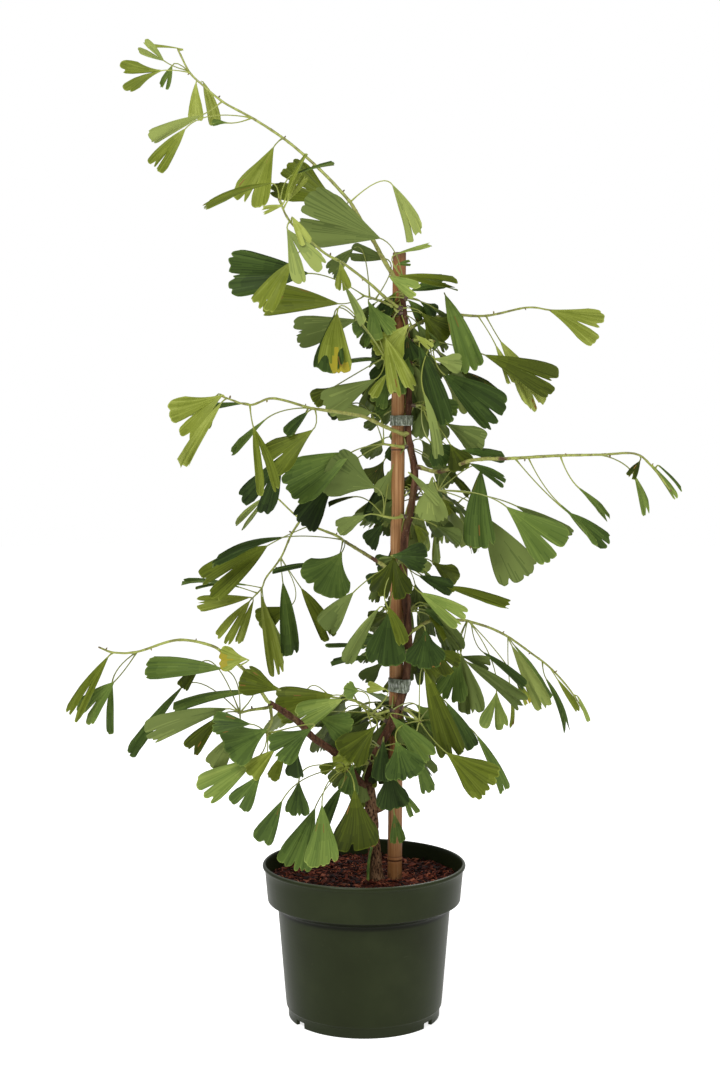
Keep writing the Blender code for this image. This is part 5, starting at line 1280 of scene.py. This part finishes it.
# The pot's outline up its outside, round the rim bead and down its inside; the foot ring is lifted at each
# slot.
def makePot(finish):
    p = pot
    top, wall, band = p["height"], p["wall"], p["height"] - p["bandHeight"]
    outline = [(0, 0), (30, 0), (p["pad"] - 1.5, 0)] + arc((p["pad"] - 1.5, 2), 2, -80, -20, 4)
    outline += [(p["pad"] + 4, p["footHeight"] - 0.6), (p["pad"] + 5, p["footHeight"]),
                (p["foot"] - 5, p["footHeight"]), (p["foot"] - 4, p["footHeight"] - 1), (p["foot"] - 4, 0.3),
                (p["foot"] - 3.6, 0), (p["foot"] - 0.5, 0), (p["foot"], 0.5), (p["foot"] + 0.2, 5),
                (p["foot"] + 0.4, p["footHeight"] - 1.2), (p["foot"] + 1.0, p["footHeight"] - 0.4)]
    outline += arc((p["bodyFoot"] - 1.4, p["footHeight"] + 1.6), 1.5, -50, 5, 4)
    outline += [(np.interp(z, (14, band - 9), (p["bodyFoot"] + 0.3, p["bodyTop"])), z)
                for z in np.linspace(20, band - 10, 9)]
    outline += arc((p["bodyTop"] + 4.6, band - 9.2), 4.6, 180, 125, 5)
    outline += [(p["bodyTop"] + 4.6, band - 4.6), (p["bodyTop"] + 7.5, band - 2.6)]
    outline += arc((p["bandFoot"] - 2.0, band + 0.6), 2.1, -50, 0, 4)
    outline += [(np.interp(z, (band, top - 7), (p["bandFoot"], p["bandTop"])), z)
                for z in np.linspace(band + 4, top - 8, 6)]
    outline += arc((p["rim"] - 2.4, top - 3.1), 2.4, -70, 90, 10)
    outline += [(p["bandTop"] - wall + 1.3, top - 0.7), (p["bandTop"] - wall + 0.7, top - 1.6),
                (p["bandTop"] - wall, top - 6), (p["bandFoot"] - wall, band + 1),
                (p["bodyTop"] - wall, band - 8), (p["bodyFoot"] - wall + 0.2, p["footHeight"] + wall + 0.5),
                (p["pad"] + 4 - wall, p["footHeight"] + wall + 0.5), (p["pad"] - wall, wall), (0, wall)]
    wide, nick = slots["width"] / 2 / p["foot"], 0.0015
    middles = np.radians(np.array(slots["angles"]) - 90)
    edges = (middles[:, None] + np.array([-wide - nick, -wide, wide, wide + nick])).ravel()
    angles = np.unique(np.concatenate([circle(200), edges % (2 * math.pi)]).round(6))

    def liftSlots(radius, z, angles):
        away = np.abs((angles[:, None] - middles + math.pi) % (2 * math.pi) - math.pi).min(axis=1)
        ring = (radius > p["foot"] - 5.5) & (radius < p["foot"] + 0.5) & (z < slots["height"])
        return radius, np.where(ring & (away < wide + nick / 2), slots["height"], z)

    makePiece("pot_shell", [turnedPart(outline, angles, liftSlots)], [finish], ["pot"], sharp=38)


# Height of the soil at a radius: a low mound that falls to the wall.
def soilHeight(radius):
    return soil["top"] - soil["mound"] * np.clip(radius / 104, 0, 1) ** 2


# Loose chips: slabs with eight shaken corners, turned, tilted and strewn over the soil.
def chipParts(count, draws):
    look = soilLook
    radius = look["chipsWithin"] * np.sqrt(draws.random(count))
    angle = draws.uniform(0, 2 * math.pi, count)
    z = soilHeight(radius) + draws.uniform(-0.4, 1.6, count)
    middle = np.stack([radius * np.cos(angle), radius * np.sin(angle), z], -1)
    sides = ("chipLength", "chipWidth", "chipThickness")
    size = np.stack([draws.uniform(*look[side], count) for side in sides], -1)
    corners = np.array([(x, y, z) for z in (-1, 1) for x, y in ((-1, -1), (1, -1), (1, 1), (-1, 1))], float)
    shape = corners * size[:, None] * draws.uniform(0.55, 1.1, (count, 8, 1))
    yaw, tilt = draws.uniform(0, 6.3, count), draws.normal(0, 0.35, (count, 2))
    along = unit(np.stack([np.cos(yaw), np.sin(yaw), tilt[:, 0]], -1))
    across = unit(np.cross(np.stack([tilt[:, 1], 0 * yaw, 0 * yaw + 1], -1), along))
    axes = np.stack([along, across, np.cross(along, across)], 1)
    points = np.einsum("nij,njk->nik", shape, axes) + middle[:, None]
    box = np.array([(3, 2, 1, 0), (4, 5, 6, 7), (0, 1, 5, 4), (1, 2, 6, 5), (2, 3, 7, 6), (3, 0, 4, 7)])
    faces = (box[None] + 8 * np.arange(count)[:, None, None]).reshape(-1, 4)
    kinds = np.repeat(draws.choice(len(chipTones), count, p=look["chipShare"]) + 1, len(box))
    return points.reshape(-1, 3), faces, kinds


# Coir fibres: thin three-sided threads on flat arcs that rise a little out of the soil.
def fibreParts(count, draws):
    look, steps, sides = soilLook, 7, 3
    radius, angle = look["fibresWithin"] * np.sqrt(draws.random(count)), draws.uniform(0, 2 * math.pi, count)
    length, yaw = draws.uniform(*look["fibreLength"], count), draws.uniform(0, 2 * math.pi, count)
    bend = draws.uniform(-look["fibreBend"], look["fibreBend"], count)
    t = np.linspace(0, 1, steps)
    turn = yaw[:, None] + bend[:, None] * t
    step = (length / steps)[:, None]
    x = (radius * np.cos(angle))[:, None] + np.cumsum(np.cos(turn) * step, axis=1)
    y = (radius * np.sin(angle))[:, None] + np.cumsum(np.sin(turn) * step, axis=1)
    away = np.maximum(np.hypot(x, y) / look["edge"], 1)
    x, y = x / away, y / away
    z = soilHeight(np.hypot(x, y)) + 0.3 + draws.uniform(0.3, 2.6, count)[:, None] * np.sin(math.pi * t)
    middle = np.stack([x, y, z], -1)
    across = np.stack([-np.sin(turn), np.cos(turn), 0 * turn], -1)
    around = circle(sides)
    thick = draws.uniform(*look["fibreThickness"], count)[:, None] * np.sin(math.pi * (0.08 + 0.84 * t))
    out = across[:, :, None] * np.cos(around)[:, None] + np.array([0, 0, 1.0]) * np.sin(around)[:, None]
    points = middle[:, :, None] + out * thick[..., None, None]
    last = (steps - 1) * sides
    quads = np.vstack([gridFaces(steps, sides, True), [(0, 2, 1, -1), (last, last + 1, last + 2, -1)]])
    start = (steps * sides * np.arange(count))[:, None, None]
    faces = np.where(quads[None] < 0, -1, quads[None] + start).reshape(-1, 4)
    kinds = draws.choice(len(coirTones), count, p=look["fibreShare"]) + 1 + len(chipTones)
    return points.reshape(-1, 3), faces, np.repeat(kinds, len(quads))


# The bed fills the pot to its walls, and its top is roughened; chips and fibres lie on it as a second piece.
def makeSoil():
    look = soilLook
    ground = Recipe("soil_bed", tone(40, 18, 12), 0.92, Specular_IOR_Level=0.1)
    crumbs = ground.noise(420, detail=6, roughness=0.7)
    stops = [(0.3, (14, 6, 4)), (0.5, (44, 19, 13)), (0.7, (86, 42, 29))]
    ground.feed("Base Color", ground.ramp(crumbs, stops))
    ground.bump(crumbs, 1.0, 0.003)
    finishes = [ground.material]
    for name, tones, roughness in (("bark_chip", chipTones, 0.8), ("coir", coirTones, 0.7)):
        for number, colour in enumerate(tones):
            grain = Recipe(f"{name}_{number + 1}", tone(*colour), roughness, Specular_IOR_Level=0.15)
            finishes.append(grain.material)
    p, wall = pot, pot["wall"] + gap
    band, floor = p["height"] - p["bandHeight"], p["footHeight"] + wall + 0.5
    outline = [(0, wall), (p["pad"] - wall, wall), (p["pad"] + 4 - wall, floor),
               (p["bodyFoot"] - wall, floor), (p["bodyTop"] - wall, band - 8),
               (p["bandFoot"] - wall, band + 1),
               (p["bandTop"] - wall - 1.4, soil["top"] - 5)]
    outline += [(r, soilHeight(r)) for r in np.linspace(look["ringFrom"], 1.5, 66)] + [(0, soil["top"])]

    def roughen(radius, z, angles):
        x, y = radius * np.cos(angles) + 120, radius * np.sin(angles) + 120
        bumps = latticeNoise(x / 260, y / 5, 52, 21) + latticeNoise(x / 260, y / 2.4, 108, 22) * 0.9
        surface = (z > look["roughAbove"]) & (radius < look["ringFrom"] + 0.4)
        return radius, z + np.where(surface, bumps * np.clip((105.5 - radius) / 3, 0.3, 1), 0)

    bed = turnedPart(outline, circle(220), roughen)
    draws = np.random.default_rng(look["seed"])
    makePiece("soil_bed", [bed], finishes, ["soil"], sharp=180)
    makePiece("soil_chips", [chipParts(look["chips"], draws), fibreParts(look["fibres"], draws)], finishes,
              ["soil"], sharp=30)


# A wide pale disc just under the pot, which glows a little so that it fades into the backdrop.
def makeFloor():
    floor = Recipe("pale_floor", (0.86, 0.86, 0.86), 0.7, Emission_Color=(1, 1, 1, 1),
                   Emission_Strength=floorGlow)
    floor.bump(floor.noise(40, detail=2), 0.02, 0.001)
    radii, sides, z = np.array([20, 1000, 2000, 4000, 9000]), 96, -0.05
    around = circle(sides)
    rings = np.stack([np.outer(radii, np.cos(around)), np.outer(radii, np.sin(around)),
                      np.full((len(radii), sides), z)], -1)
    mesh = bpy.data.meshes.new("floor")
    points = np.vstack([rings.reshape(-1, 3), (0, 0, z)]) * mm
    quads = gridFaces(len(radii), sides, True)[:, ::-1].tolist()
    fan = fanFaces(0, sides, len(radii) * sides, True)[:, :3].tolist()
    mesh.from_pydata(points.tolist(), [], quads + fan)
    mesh.materials.append(floor.material)
    thing = bpy.data.objects.new("floor", mesh)
    bpy.context.scene.collection.objects.link(thing)


setUpStudio()
makeFloor()
makePot(makePotFinish())
makeSoil()
print("pot and soil made")
trunkBark = makeBark()
trunk = makeTrunk(trunkBark)
limbs = makeBoughs(trunk, trunkBark, makeBoughBark("bough_brown", 0.16), makeBoughBark("bough_green", -0.12))
makeSucker()
makeCane()
tieFilm = makeTieFinish()
for name, heights in ties.items():
    makeTie(name, heights, trunk, tieFilm)
print("trunk,", len(boughs), "boughs, cane and ties made")
leafFinishes, shootFinishes = makeLeafFinishes(), makeShootFinishes()
leafCount = 0
for name, plan in (masses | farMasses).items():
    leafCount += makeMass(name, plan, limbs, leafFinishes, shootFinishes)
print(leafCount, "leaves on", len(masses) + len(farMasses), "masses made")
